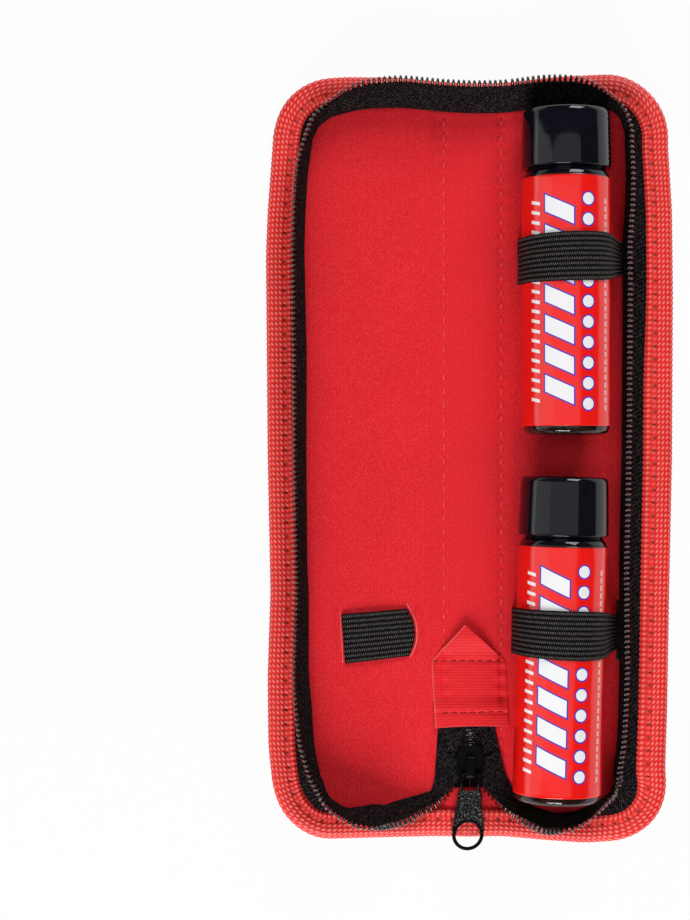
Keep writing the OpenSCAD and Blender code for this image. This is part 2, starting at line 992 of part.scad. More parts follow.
cover_right();
cover_spine();
cover_left();
board_right();
board_left();
lining_right();
lining_spine();
lining_left();
binding_right();
binding_left();
binding_spine_top();
binding_spine_bottom();
zip_tape_right();
zip_tape_left();
zip_tape_spine();
zip_coil_right();
zip_coil_left();
zip_coil_spine();
zip_bridge_right();
zip_bridge_left();
zip_fork_right();
zip_fork_left();
zip_tail_tape();
zip_tail_chain();
slider_body();
pull_tab();
ribbon_patch();
loop_upper();
loop_lower();
loop_spare();
upper_glass();
upper_sleeve();
upper_seal();
upper_cap();
lower_glass();
lower_sleeve();
lower_seal();
lower_cap();
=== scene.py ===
# %% [markdown]
# The object is a zip-around carry case that lies open on a table, with two small bottles held
# in it by elastic. The imported solids give its main sizes, its places and its joints. This lesson
# dresses them as cloth, zip, elastic, glass and print. The solids are loaded first.

# %% Load the imported solids
import json
import math

import bmesh
import bpy
import numpy as np
from bmesh.types import BMEdge, BMVert
from mathutils import Matrix, Vector


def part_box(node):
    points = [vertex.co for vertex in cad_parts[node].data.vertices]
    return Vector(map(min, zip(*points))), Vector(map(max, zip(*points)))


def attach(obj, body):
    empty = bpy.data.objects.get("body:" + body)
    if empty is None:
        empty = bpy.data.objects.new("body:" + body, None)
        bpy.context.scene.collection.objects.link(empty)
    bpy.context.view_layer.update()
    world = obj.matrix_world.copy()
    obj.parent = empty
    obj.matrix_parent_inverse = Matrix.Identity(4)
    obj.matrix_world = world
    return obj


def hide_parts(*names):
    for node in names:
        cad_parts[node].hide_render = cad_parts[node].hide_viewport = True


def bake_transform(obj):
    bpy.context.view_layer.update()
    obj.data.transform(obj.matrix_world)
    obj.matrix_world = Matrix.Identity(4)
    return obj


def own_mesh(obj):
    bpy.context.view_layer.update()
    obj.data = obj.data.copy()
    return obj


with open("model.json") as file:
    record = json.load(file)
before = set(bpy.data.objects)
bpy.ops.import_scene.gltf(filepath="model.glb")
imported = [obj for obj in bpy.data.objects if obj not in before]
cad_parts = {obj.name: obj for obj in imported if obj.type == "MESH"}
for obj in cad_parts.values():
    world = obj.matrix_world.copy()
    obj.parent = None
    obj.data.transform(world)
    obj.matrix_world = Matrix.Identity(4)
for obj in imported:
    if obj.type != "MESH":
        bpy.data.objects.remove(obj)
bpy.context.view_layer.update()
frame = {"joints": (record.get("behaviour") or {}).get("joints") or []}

# %% [markdown]
# Cloth sizes are easier to read in millimetres, while the frame is in metres, so one constant
# turns one into the other. The case's outline, its fold lines and the bottles' places are read
# from the solids. Smaller details are placed as the photograph shows them.

# %% Sizes taken from the solids
MM = 0.001


def box_mm(node):
    """Lowest and highest corner of a solid, in millimetres."""
    low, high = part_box(node)
    return low / MM, high / MM


half_w = box_mm("binding_right")[1].x
half_l = box_mm("binding_right")[1].y
corner_r = 18
floor_z = box_mm("lining_right")[1].z
spine_z = box_mm("lining_spine")[1].z
hinge = next(joint for joint in frame["joints"] if joint["name"] == "spine_fold")
fold_x, fold_z = hinge["pos_m"][0] / MM, hinge["pos_m"][2] / MM
print("case", 2 * half_w, "x", 2 * half_l, "folds at", fold_x, fold_z)

# %% [markdown]
# The photograph looks straight down, so the camera hangs over the table with +Y as its up side. Its
# height is a guess that suits the perspective, and its lens follows from the stretch of table that
# the picture's longer side covers. The case sits to the right of the picture's middle, so the
# camera stands to the left of the case.

# %% Camera
view_height = 600
view_long_side = 261.3
view_centre = (-35.5, -0.6)
camera_data = bpy.data.cameras.new("camera")
camera_data.sensor_width = 36
camera_data.lens = camera_data.sensor_width * view_height / view_long_side
camera = bpy.data.objects.new("camera", camera_data)
camera.location = Vector((*view_centre, floor_z + view_height)) * MM
scene = bpy.context.scene
scene.collection.objects.link(camera)
scene.camera = camera
scene.view_settings.view_transform = "Standard"
print("lens", round(camera_data.lens, 1), "mm")

# %% [markdown]
# Materials are node trees. Small helpers keep them short: one writes a colour as it is seen on
# screen, one adds a node and wires its sockets, one does a single sum, and the others make the few
# nodes that most of the finishes need.

# %% Node helpers
def paint(red, green, blue):
    """A screen colour, 0 to 255, as the linear colour that a shader takes."""
    seen = [channel / 255 for channel in (red, green, blue)]
    return (*[c / 12.92 if c <= 0.04045 else ((c + 0.055) / 1.055) ** 2.4 for c in seen], 1)


def add(tree, kind, inputs=None, **settings):
    """A node with its settings made, and each input set to a value or wired to an output."""
    made = tree.nodes.new(kind)
    for key, value in settings.items():
        setattr(made, key, value)
    for socket, value in (inputs or {}).items():
        if isinstance(value, bpy.types.NodeSocket):
            tree.links.new(value, made.inputs[socket])
        else:
            made.inputs[socket].default_value = value
    return made


def calc(tree, operation, *values):
    """The result of one sum on up to three values."""
    return add(tree, "ShaderNodeMath", dict(enumerate(values)), operation=operation).outputs[0]


def finish_of(name, **constants):
    """A new material and its tree, with constant sockets of its one shader set."""
    made = bpy.data.materials.new(name)
    made.use_nodes = True
    shader = made.node_tree.nodes["Principled BSDF"]
    for socket, value in constants.items():
        shader.inputs[socket.replace("_", " ")].default_value = value
    return made, made.node_tree


def wire(tree, **links):
    """Feeds outputs to the shader's sockets."""
    shader = tree.nodes["Principled BSDF"]
    for socket, output in links.items():
        tree.links.new(output, shader.inputs[socket.replace("_", " ")])


print("node helpers ready")

# %% Finish helpers
def noise(tree, spot, scale, detail):
    """Soft random patches, 0 to 1. The scale is about how many of them fit in a millimetre."""
    inputs = {"Vector": spot, "Scale": scale, "Detail": detail}
    return add(tree, "ShaderNodeTexNoise", inputs).outputs["Fac"]


def ranged(tree, value, low, high):
    """A value of 0 to 1 carried over to a range from low to high."""
    return add(tree, "ShaderNodeMapRange", {"Value": value, "To Min": low, "To Max": high}).outputs[0]


def relief(tree, height, depth):
    """A bump of that depth in millimetres."""
    made = add(tree, "ShaderNodeBump", {"Height": height, "Distance": depth * MM, "Strength": 1.0})
    return made.outputs["Normal"]


def mixed(tree, share, first, second):
    """One colour mixed into another."""
    return add(tree, "ShaderNodeMix", {0: share, 6: first, 7: second}, data_type="RGBA").outputs[2]


def ramp(tree, value, *stops):
    """A colour ramp with a colour at each place along it."""
    made = add(tree, "ShaderNodeValToRGB", {"Fac": value})
    elements = made.color_ramp.elements
    while len(elements) < len(stops):
        elements.new(0.5)
    for element, (place, colour) in zip(elements, stops):
        element.position = place
        element.color = colour
    return made.outputs["Color"]


def point_value(tree, label):
    """A value that each point of a mesh keeps."""
    return add(tree, "ShaderNodeAttribute", attribute_name=label).outputs["Fac"]


def flat_uv(tree):
    """The two directions of a piece's own flat cut, in millimetres."""
    split = add(tree, "ShaderNodeSeparateXYZ", {0: add(tree, "ShaderNodeUVMap").outputs["UV"]})
    return split.outputs["X"], split.outputs["Y"]


def place_mm(tree):
    """The place on the object, in millimetres."""
    spot = add(tree, "ShaderNodeTexCoord").outputs["Object"]
    return add(tree, "ShaderNodeVectorMath", {0: spot, "Scale": 1 / MM}, operation="SCALE").outputs[0]


print("finish helpers ready")

# %% [markdown]
# Several finishes share an effect, so each effect is a node group that is built once. Dyed cloth
# has a slightly uneven tone, most weaves have straight rows of yarn, and zip tape has the slanting
# rows of a twill. A group takes values in millimetres and puts out a tone or a height.

# %% Shared effects
def group_of(name, inputs, outputs):
    """An empty node group with its sockets, its input node and its output node."""
    tree = bpy.data.node_groups.new(name, "ShaderNodeTree")
    for label, kind in inputs.items():
        tree.interface.new_socket(label, in_out="INPUT", socket_type="NodeSocket" + kind)
    for label in outputs:
        tree.interface.new_socket(label, in_out="OUTPUT", socket_type="NodeSocketFloat")
    return tree, tree.nodes.new("NodeGroupInput").outputs, tree.nodes.new("NodeGroupOutput").inputs


def fibre_tone_group():
    """Light and dark drift in dyed cloth: 1 on the whole, a little more or less from place to place."""
    tree, given, out = group_of(
        "fibre_tone", {"Place": "Vector", "Grain": "Float", "Amount": "Float"}, ["Tone"]
    )
    scale = calc(tree, "DIVIDE", 1.0, given["Grain"])
    swing = calc(tree, "SUBTRACT", noise(tree, given["Place"], scale, 3.0), 0.5)
    twice = calc(tree, "MULTIPLY", swing, 2.0)
    tree.links.new(calc(tree, "MULTIPLY_ADD", twice, given["Amount"], 1.0), out["Tone"])
    return tree


def yarn_rows_group():
    """Straight rows of yarn: 1 at the top of a row and 0 between rows."""
    tree, given, out = group_of("yarn_rows", {"Across": "Float", "Pitch": "Float"}, ["Height"])
    turns = calc(tree, "DIVIDE", given["Across"], given["Pitch"])
    wave = calc(tree, "COSINE", calc(tree, "MULTIPLY", turns, 2 * math.pi))
    tree.links.new(calc(tree, "MULTIPLY_ADD", wave, 0.5, 0.5), out["Height"])
    return tree


def twill_group():
    """Twill: slanting rows, each broken into short floats by the crossing yarns."""
    tree, given, out = group_of(
        "twill", {"Across": "Float", "Along": "Float", "Pitch": "Float"}, ["Height"]
    )
    slant = calc(tree, "DIVIDE", calc(tree, "ADD", given["Across"], given["Along"]), given["Pitch"])
    cross = calc(tree, "DIVIDE", calc(tree, "SUBTRACT", given["Across"], given["Along"]), given["Pitch"])
    rows = calc(tree, "COSINE", calc(tree, "MULTIPLY", slant, 2 * math.pi))
    floats = calc(tree, "COSINE", calc(tree, "MULTIPLY", cross, math.pi))
    both = calc(tree, "MULTIPLY_ADD", floats, 0.5, rows)
    tree.links.new(calc(tree, "MULTIPLY_ADD", both, 0.33, 0.5), out["Height"])
    return tree


fibre_tone, yarn_rows, twill = fibre_tone_group(), yarn_rows_group(), twill_group()


def effect(tree, group, **inputs):
    """Places a shared effect in a material, and gives its output."""
    return add(tree, "ShaderNodeGroup", inputs, node_tree=group).outputs[0]


def toned(tree, colour, tone):
    """A colour made lighter or darker by a tone."""
    return add(tree, "ShaderNodeHueSaturation", {"Color": colour, "Value": tone}).outputs["Color"]


print("shared effects", [group.name for group in (fibre_tone, yarn_rows, twill)])

# %% [markdown]
# The sheen on the bottles and the dark gap between them suggest two lamps, one in front of the
# case and a weaker one behind it, in a room with a bright wall at the left and a dim ceiling. The
# lamps and a dim world add up to a level where a colour renders about as it is written. The table
# is pale, and camera, mirror and glass rays see it nearer to white, so the background is white
# while the case's soft shadow stays. Far out the table sweeps up like a paper backdrop, so that it
# lies behind the case in a low view too.

# %% Lamps
def softbox(name, place, size, glow, target=(0, 0, 0)):
    """A flat lamp turned to a target. A glow of 1 is as bright as white paper in full light."""
    lamp = bpy.data.lights.new(name, "AREA")
    lamp.shape = "RECTANGLE"
    lamp.size, lamp.size_y = size
    lamp.energy = glow * math.pi * size[0] * size[1]
    made = bpy.data.objects.new(name, lamp)
    made.location = place
    made.rotation_euler = (Vector(target) - Vector(place)).to_track_quat("-Z", "Y").to_euler()
    scene.collection.objects.link(made)


room_left, room_right, room_top, room_long = -0.85, 0.62, 1.0, 0.6
room_middle, wall_middle = (room_left + room_right) / 2, room_top / 2
ceiling_size, wall_size = (room_right - room_left, room_long), (room_long, room_top)
softbox("ceiling", (room_middle, 0, room_top), ceiling_size, glow=0.62, target=(room_middle, 0, 0))
softbox("wall_left", (room_left, 0, wall_middle), wall_size, glow=0.95, target=(0, 0, wall_middle))
softbox("key_front", (-0.15, -0.95, 0.58), (0.6, 0.6), glow=10.2)
softbox("key_back", (0.35, 0.85, 0.62), (0.5, 0.5), glow=8.4)
print("lit by", [lamp.name for lamp in bpy.data.lights])

# %% World and table
world = bpy.data.worlds.new("studio")
scene.world = world
world.use_nodes = True
backdrop = world.node_tree.nodes["Background"]
backdrop.inputs["Color"].default_value = (1, 1, 1, 1)
backdrop.inputs["Strength"].default_value = 0.06

table_half, flat_r, sweep, below_case = 4.0, 1.5, 0.065, 0.1 * MM
bm = bmesh.new()
bmesh.ops.create_grid(bm, x_segments=48, y_segments=48, size=table_half)
for vert in bm.verts:
    vert.co.z = sweep * max(0, vert.co.xy.length - flat_r) ** 2 - below_case
table_mesh = bpy.data.meshes.new("table")
bm.to_mesh(table_mesh)
bm.free()
table = bpy.data.objects.new("table", table_mesh)
scene.collection.objects.link(table)
pale, tree = finish_of("pale_table", Base_Color=(0.9, 0.9, 0.9, 1), Roughness=0.8)
rays = add(tree, "ShaderNodeLightPath").outputs
mirrored = calc(tree, "MAXIMUM", rays["Is Glossy Ray"], rays["Is Transmission Ray"])
direct = calc(tree, "MAXIMUM", rays["Is Camera Ray"], mirrored)
white = add(tree, "ShaderNodeEmission", {"Color": (1, 1, 1, 1), "Strength": 1.0})
table_white = 0.93
blend = add(tree, "ShaderNodeMixShader", {
    0: calc(tree, "MULTIPLY", direct, table_white),
    1: tree.nodes["Principled BSDF"].outputs[0],
    2: white.outputs[0],
})
tree.links.new(blend.outputs[0], tree.nodes["Material Output"].inputs["Surface"])
table_mesh.materials.append(pale)
print("table", 2 * table_half, "m wide, flat for", 2 * flat_r, "m")

# %% [markdown]
# Nearly every piece of the case is cloth that was cut flat and then sewn to shape. The model is
# made in the same way: a flat grid is cut, its UV map keeps the flat cut in millimetres for the
# weave, and every point is then carried to its place by a formula. A Solidify modifier gives a
# sheet its thickness.

# %% Cloth helpers
def solid_piece(bm, name, finish):
    """A finished bmesh as an object at the origin."""
    mesh = bpy.data.meshes.new(name)
    bm.to_mesh(mesh)
    bm.free()
    mesh.polygons.foreach_set("use_smooth", [True] * len(mesh.polygons))
    mesh.materials.append(finish)
    made = bpy.data.objects.new(name, mesh)
    scene.collection.objects.link(made)
    return made


def cloth(name, flat, cells, place, finish, thick=0, seam=False, flip=False):
    """A grid of cells cut to the flat size, along and across, and carried to its place.

    place takes the shares along and across, 0 to 1, and gives points in millimetres and the
    values that each point keeps for its material."""
    bm = bmesh.new()
    uv = bm.loops.layers.uv.new("flat")
    bmesh.ops.create_grid(bm, x_segments=cells[0], y_segments=cells[1], size=0.5)
    bmesh.ops.translate(bm, vec=(0.5, 0.5, 0), verts=bm.verts)
    share = np.array([vert.co for vert in bm.verts])
    for face in bm.faces:
        for loop in face.loops:
            loop[uv].uv = (loop.vert.co.x * flat[0], loop.vert.co.y * flat[1])
    points, kept = place(share[:, 0], share[:, 1])
    for vert, spot in zip(bm.verts, points * MM):
        vert.co = spot
    for label, values in kept.items():
        layer = bm.verts.layers.float.new(label)
        for vert, value in zip(bm.verts, values):
            vert[layer] = value
    if seam:
        bmesh.ops.remove_doubles(bm, verts=bm.verts, dist=0.002 * MM)
        bmesh.ops.holes_fill(bm, edges=[edge for edge in bm.edges if edge.is_boundary])
        bmesh.ops.recalc_face_normals(bm, faces=bm.faces)
    elif flip:
        bmesh.ops.reverse_faces(bm, faces=bm.faces)
    for edge_ in bm.edges:
        edge_.smooth = not edge_.is_boundary
    made = solid_piece(bm, name, finish)
    if thick:
        wall = made.modifiers.new("thickness", "SOLIDIFY")
        wall.thickness = thick * MM
        wall.offset = -1
    return made


print("cloth helpers ready")

# %% Line helpers
def step(values, low, high):
    """0 below low, 1 above high, and a smooth rise between them."""
    share = np.clip((values - low) / (high - low), 0, 1)
    return share * share * (3 - 2 * share)


def hump(values, centre, width):
    """A soft ridge, 1 at its centre."""
    return np.exp(-(((values - centre) / width) ** 2))


def spline(points, count):
    """Evenly spaced points along a smooth curve through a few given ones."""
    given = np.array(points, float)
    ends = np.vstack([2 * given[0] - given[1], given, 2 * given[-1] - given[-2]])
    t = np.linspace(0, 1, 24, endpoint=False)[:, None]
    spans = []
    for a, b, c, d in zip(ends, ends[1:], ends[2:], ends[3:]):
        cubic = (3 * (b - c) + d - a) * t**3 + (2 * a - 5 * b + 4 * c - d) * t**2
        spans.append(b + 0.5 * (cubic + (c - a) * t))
    fine = np.vstack([*spans, given[-1:]])
    return even(fine, count)


def between(table, marks, at):
    """Rows of a table of points, read at places between its marks."""
    return np.stack([np.interp(at, marks, column) for column in table.T], axis=1)


def distances(line):
    """How far along a line each of its points lies."""
    return np.concatenate([[0], np.cumsum(np.linalg.norm(np.diff(line, axis=0), axis=1))])


def even(line, count):
    """The same line with its points evenly spaced."""
    gone = distances(line)
    return between(line, gone, np.linspace(0, gone[-1], count))


def smoothed(values, width):
    """Values evened out over a number of neighbours."""
    kernel = np.hanning(width) / np.hanning(width).sum()
    return np.convolve(np.pad(values, width // 2, mode="edge"), kernel, mode="valid")


def length_of(line):
    """Length of a line through points."""
    return float(np.linalg.norm(np.diff(line, axis=0), axis=1).sum())


print("line helpers ready")

# %% [markdown]
# Both halves of the case share one edge path: from the top of the spine, round the panel and
# back to the bottom of the spine. Sewn cloth never keeps a perfect outline, so the edge sways in
# and out by a millimetre or so, and the two halves sway differently, as in the photograph.

# %% The edge path
stitch_inset = 4.9
straight = half_w - corner_r
side = 2 * (half_l - corner_r)
bend_run = (corner_r - stitch_inset) * math.pi / 2
half_run = 2 * straight + 2 * bend_run + side
corner_one = straight + bend_run / 2
corner_two = half_run - corner_one
sway_right = [
    (0, -1.4), (9, -1.4), (19, -0.2), (27, 0.5), (40, 1.1), (corner_one, -0.2),
    (straight + bend_run, -1.2), (80, 0), (103, 0.25), (150, 0), (188, -0.8), (222, -1.4),
    (straight + bend_run + side, -2), (corner_two, 0.2), (half_run - 33, 1.45),
    (half_run - 21, 0.6), (half_run - 9, -0.5), (half_run, -0.3),
]
sway_left = [
    (0, -1.4), (8, -1.0), (19, 0.1), (36, 0.3), (corner_one, -0.9), (straight + bend_run - 3, -1.7),
    (80, 0), (92, 0.5), (150, 0), (188, -0.8), (212, 0), (232, -0.2),
    (straight + bend_run + side + 3, -1.4), (corner_two, -0.6), (half_run - 42, 0.35),
    (half_run - 20, -0.25), (half_run - 9, -0.5), (half_run, -0.3),
]


def sway(run, hand):
    """How far the edge stands out of its true outline, hand +1 for the right half."""
    places, amounts = np.array(sway_right if hand > 0 else sway_left).T
    fine = np.arange(0, half_run, 1.0)
    return np.interp(run, fine, smoothed(np.interp(fine, places, amounts), 11))


def edge(run, inset, hand):
    """Points on the edge path that far round and that far in, and the outward directions there."""
    run, inset = np.broadcast_arrays(np.asarray(run, float), np.asarray(inset, float))
    turn = np.pi / 2 * (
        np.clip((run - straight) / bend_run, 0, 1)
        + np.clip((run - straight - bend_run - side) / bend_run, 0, 1)
    )
    out_x, out_y = np.sin(turn), np.cos(turn)
    centre_x = np.minimum(np.minimum(run, straight), np.maximum(half_run - run, 0))
    centre_y = half_l - corner_r - np.clip(run - straight - bend_run, 0, side)
    reach = corner_r - inset + sway(run, hand)
    x = np.clip(centre_x, 0, straight) + reach * out_x
    y = centre_y + reach * out_y
    return hand * x, y, hand * out_x, out_y


print("half the edge is", round(half_run), "mm round at its stitches")

# %% [markdown]
# The lining is a red knit with fine lines that run up the case. It is fused to a thin foam, so
# it is soft but nearly flat: it sinks over the spine, is drawn down along two rows of stitches,
# and stands up a little beside the slits that the elastic goes through. A cloth simulation would
# only find this shape again, so the height is written as a formula, which the ribbon, the
# stitches and the loops use too.

# %% Lining knit
def lining_knit():
    made, tree = finish_of("lining_knit", Roughness=0.9, Specular_IOR_Level=0.15, Sheen_Weight=0.04)
    spot = place_mm(tree)
    x = add(tree, "ShaderNodeSeparateXYZ", {0: spot}).outputs["X"]
    across = calc(tree, "MULTIPLY_ADD", noise(tree, spot, 0.35, 2.0), 0.5, x)
    wales = effect(tree, yarn_rows, Across=across, Pitch=0.68)
    loops = calc(tree, "MULTIPLY", noise(tree, spot, 2.4, 3.0), 0.95)
    knit = calc(tree, "MULTIPLY_ADD", wales, 0.12, loops)
    shades = (0.3, paint(216, 27, 36)), (0.53, paint(228, 37, 46)), (0.8, paint(240, 60, 68))
    tone = effect(tree, fibre_tone, Place=spot, Grain=18.0, Amount=0.06)
    colour = toned(tree, ramp(tree, knit, *shades), tone)
    wire(tree, Base_Color=colour, Normal=relief(tree, knit, 0.025))
    return made


knit_finish = lining_knit()
print("made", knit_finish.name)

# %% Height of the lining
lining_inset = 6.4
stitch_lines = {-1: -7.4, 1: 8.9}
stitch_step = 4.0
upper_at = Vector((26.0, 54.9))
lower_at = Vector((24.3, -47.9))
spare_at = Vector((-25.8, -50.1))
spare_tilt = math.radians(4)
lower_tilt = math.radians(-1.2)
slits = [
    # place on the case, tilt, way that the lip faces, half length
    (upper_at.x + 19.0, upper_at.y, 0.0, 1, 4.9),
    (lower_at.x + 18.4, lower_at.y, lower_tilt, 1, 4.9),
    (spare_at.x + 10.4, spare_at.y + 0.7, spare_tilt, 1, 6.9),
    (spare_at.x - 10.4, spare_at.y - 0.7, spare_tilt, -1, 6.9),
]


def slit_lips(x, y):
    """How far the cut edges of the elastic's slits stand up out of the lining."""
    up = np.zeros_like(x)
    for slit_x, slit_y, tilt, facing, reach in slits:
        across = (x - slit_x) * math.cos(tilt) + (y - slit_y) * math.sin(tilt)
        along = -(x - slit_x) * math.sin(tilt) + (y - slit_y) * math.cos(tilt)
        inside = 1 - step(np.abs(along), reach - 1.0, reach + 1.0)
        beyond = facing * across
        up += inside * (0.75 * hump(beyond, 0.9, 0.9) - 0.5 * hump(beyond, -0.9, 0.8))
    return up


def lining_height(x, y):
    """Height of the lining's upper face, in millimetres."""
    x, y = np.asarray(x, float), np.asarray(y, float)
    wide, tall = half_w - lining_inset, half_l - lining_inset
    low, high = spine_z + 0.08, floor_z + 0.12
    panel = step(np.abs(x), 8.8, 12.8)
    z = low + panel * (high - low)
    z = z + 0.3 * hump(x, -11.6, 1.3) * (0.6 + 0.4 * np.sin(y / 23))
    z = z + panel * 0.09 * np.sin(x / 7.5 + 0.6) * np.sin(y / 19 + 0.4)
    for line in stitch_lines.values():
        dimples = 0.16 * hump(x, line, 1.8) * np.cos(2 * np.pi * y / stitch_step)
        z = z - 0.45 * hump(x, line, 0.75) - dimples
    margin = np.minimum(wide - np.abs(x), tall - np.abs(y))
    return z - 0.7 * hump(margin, 0, 1.5) + slit_lips(x, y)


print("lining", round(float(lining_height(half_w / 2, 0)), 2), "mm up on a panel")

# %% Lining halves
side_of = {1: "right", -1: "left"}


def half_plan(hand, inset):
    """Flat size of half the case that far inside its edge, and a function that fills it with a grid.

    The function gives x, y and how far each point lies inside the rim."""
    wide, tall, corner = half_w - inset, half_l - inset, corner_r - inset

    def spread(along, across):
        y = tall * np.sin((across - 0.5) * np.pi * 0.999) * 0.35 + tall * (2 * across - 1) * 0.65
        past = np.clip(np.abs(y) - (tall - corner), 0, corner)
        reach = wide - corner + np.sqrt(corner**2 - past**2)
        x = hand * along * reach
        return x, y, np.minimum(reach - np.abs(x), tall - np.abs(y))

    return (wide, 2 * tall), spread


def lining_half(hand):
    flat, spread = half_plan(hand, lining_inset)

    def place(along, across):
        x, y = spread(along, across)[:2]
        return np.stack([x, y, lining_height(x, y)], axis=1), {}

    name = f"lining_{side_of[hand]}_cloth"
    made = cloth(name, flat, (76, 180), place, knit_finish, thick=0.5, flip=hand < 0)
    return made


lining_right, lining_left = lining_half(1), lining_half(-1)
print("lining", [len(piece.data.polygons) for piece in (lining_right, lining_left)], "faces")

# %% [markdown]
# A helper settles each cloth that crosses a fold: it bakes the piece's place into its mesh and
# hides the solids that the piece stands for.


def across_fold(piece, hand, *nodes, slot):
    """Bakes a piece's place into its mesh and hides the CAD solids that it stands for."""
    if hand > 0:
        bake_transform(piece)
    else:
        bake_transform(piece)
    if nodes:
        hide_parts(*nodes)


across_fold(lining_right, 1, "lining_right", "lining_spine", slot="lining")
across_fold(lining_left, -1, "lining_left", "lining_spine", slot="lining")

# %% [markdown]
# The outside of the case is one sheet of black leatherette: a thin film, embossed with a fine
# hide grain and slightly glossy. The grain is a net of creases with a finer unevenness over it,
# and the creases are a little duller than the film on top and darker from painted shade. The
# sheet lies flat on the table and lifts at its rim, where the binding grips it. Like the lining,
# it is made as two halves that meet along the middle of the spine.

# %% Leatherette cover
def leatherette():
    made, tree = finish_of("leatherette", Specular_IOR_Level=0.45)
    spot = place_mm(tree)
    hide = {"Vector": spot, "Scale": 1.05}
    cells = add(tree, "ShaderNodeTexVoronoi", hide, feature="DISTANCE_TO_EDGE").outputs["Distance"]
    crease = add(tree, "ShaderNodeMapRange", {"Value": cells, "From Max": 0.22}).outputs[0]
    grain_and_crease_shade = calc(tree, "MULTIPLY_ADD", noise(tree, spot, 2.6, 4.0), 0.6, crease)
    # Painted shade: the creases are darker in the colour.
    shades = (0.1, paint(8, 7, 8)), (0.75, paint(22, 20, 21)), (1.0, paint(34, 32, 33))
    tone = effect(tree, fibre_tone, Place=spot, Grain=25.0, Amount=0.15)
    colour, gloss = toned(tree, ramp(tree, grain_and_crease_shade, *shades), tone), ranged(tree, grain_and_crease_shade, 0.62, 0.36)
    wire(tree, Base_Color=colour, Roughness=gloss, Normal=relief(tree, grain_and_crease_shade, 0.09))
    return made


leather_finish = leatherette()
cover_inset = 5.6


def cover_half(hand):
    flat, spread = half_plan(hand, cover_inset)

    def place(along, across):
        x, y, margin = spread(along, across)
        crease = sum(hump(x, line, 0.7) for line in stitch_lines.values())
        return np.stack([x, y, 0.06 + 0.7 * hump(margin, 0, 3.5) + 0.25 * crease], axis=1), {}

    name = f"cover_{side_of[hand]}_skin"
    made = cloth(name, flat, (60, 130), place, leather_finish, thick=0.6, flip=hand > 0)
    return made


cover_right, cover_left = cover_half(1), cover_half(-1)
across_fold(cover_right, 1, "cover_right", "cover_spine", slot="cover")
across_fold(cover_left, -1, "cover_left", "cover_spine", slot="cover")
print("cover", [piece.name for piece in (cover_right, cover_left)])

# %% [markdown]
# The red binding is a thick woven tape, folded over the raw edges of cover, zip tape and lining
# and sewn through. Its outer part is woven of shiny round yarns whose crests lie in slanting rows,
# its inner edges are ribbed selvedges, and the lockstitch pulls a shallow groove between them with
# small holes at the stitches. The weave is real relief, and each point keeps how high it stands.
# Light and shade are painted into the colour from that: a pale pink highlight on the crests, a
# deeper red in the hollows and a little in the groove, and near-black painted shade in the holes.

# %% Binding weave finish
def binding_weave():
    made, tree = finish_of("binding_weave", Roughness=0.4, Specular_IOR_Level=0.4)
    spot = place_mm(tree)
    strands = noise(tree, spot, 3.2, 3.0)
    uneven = calc(tree, "SUBTRACT", strands, 0.5)
    # Painted light: the crests' height lifts the colour to a pale pink highlight, and the hollows stay a
    # deeper red as painted shade.
    lit = calc(tree, "MULTIPLY_ADD", uneven, 0.35, point_value(tree, "crest"))
    yarn = ramp(
        tree, lit, (0.05, paint(206, 16, 10)), (0.35, paint(240, 36, 28)), (0.7, paint(252, 80, 74)),
        (1.0, paint(255, 150, 145)),
    )
    tone = effect(tree, fibre_tone, Place=spot, Grain=9.0, Amount=0.12)
    # Painted shade: each stitch hole is coloured near black.
    colour = mixed(tree, point_value(tree, "hole"), toned(tree, yarn, tone), paint(16, 5, 5))
    wire(tree, Base_Color=colour, Normal=relief(tree, strands, 0.06))
    return made


weave_finish = binding_weave()
print("made", weave_finish.name)

# %% Binding halves
weave_pitch = 1.47
yarn_w = 1.2
row_slant = 0.6
wide_selvedge = 0.35
hole_step = {1: 3.7, -1: 4.1}
hole_inset = 5.2
binding_outer = [
    (8.6, 0.6), (7.0, 0.42), (5.7, 0.42), (4.9, 0.75), (4.1, 0.2), (2.4, 0.02), (0.8, 0.55),
    (0.0, 1.9), (0.6, 3.3), (2.2, 4.0), (4.0, 3.88), (5.2, 3.66), (6.0, 3.7), (6.9, 3.66), (7.6, 3.3),
]
binding_inner = [(7.5, 2.85), (5.0, 2.6), (1.4, 1.9), (5.0, 1.25), (8.5, 0.95), (8.6, 0.6)]
outer_cells, pitch_cells = 72, 5


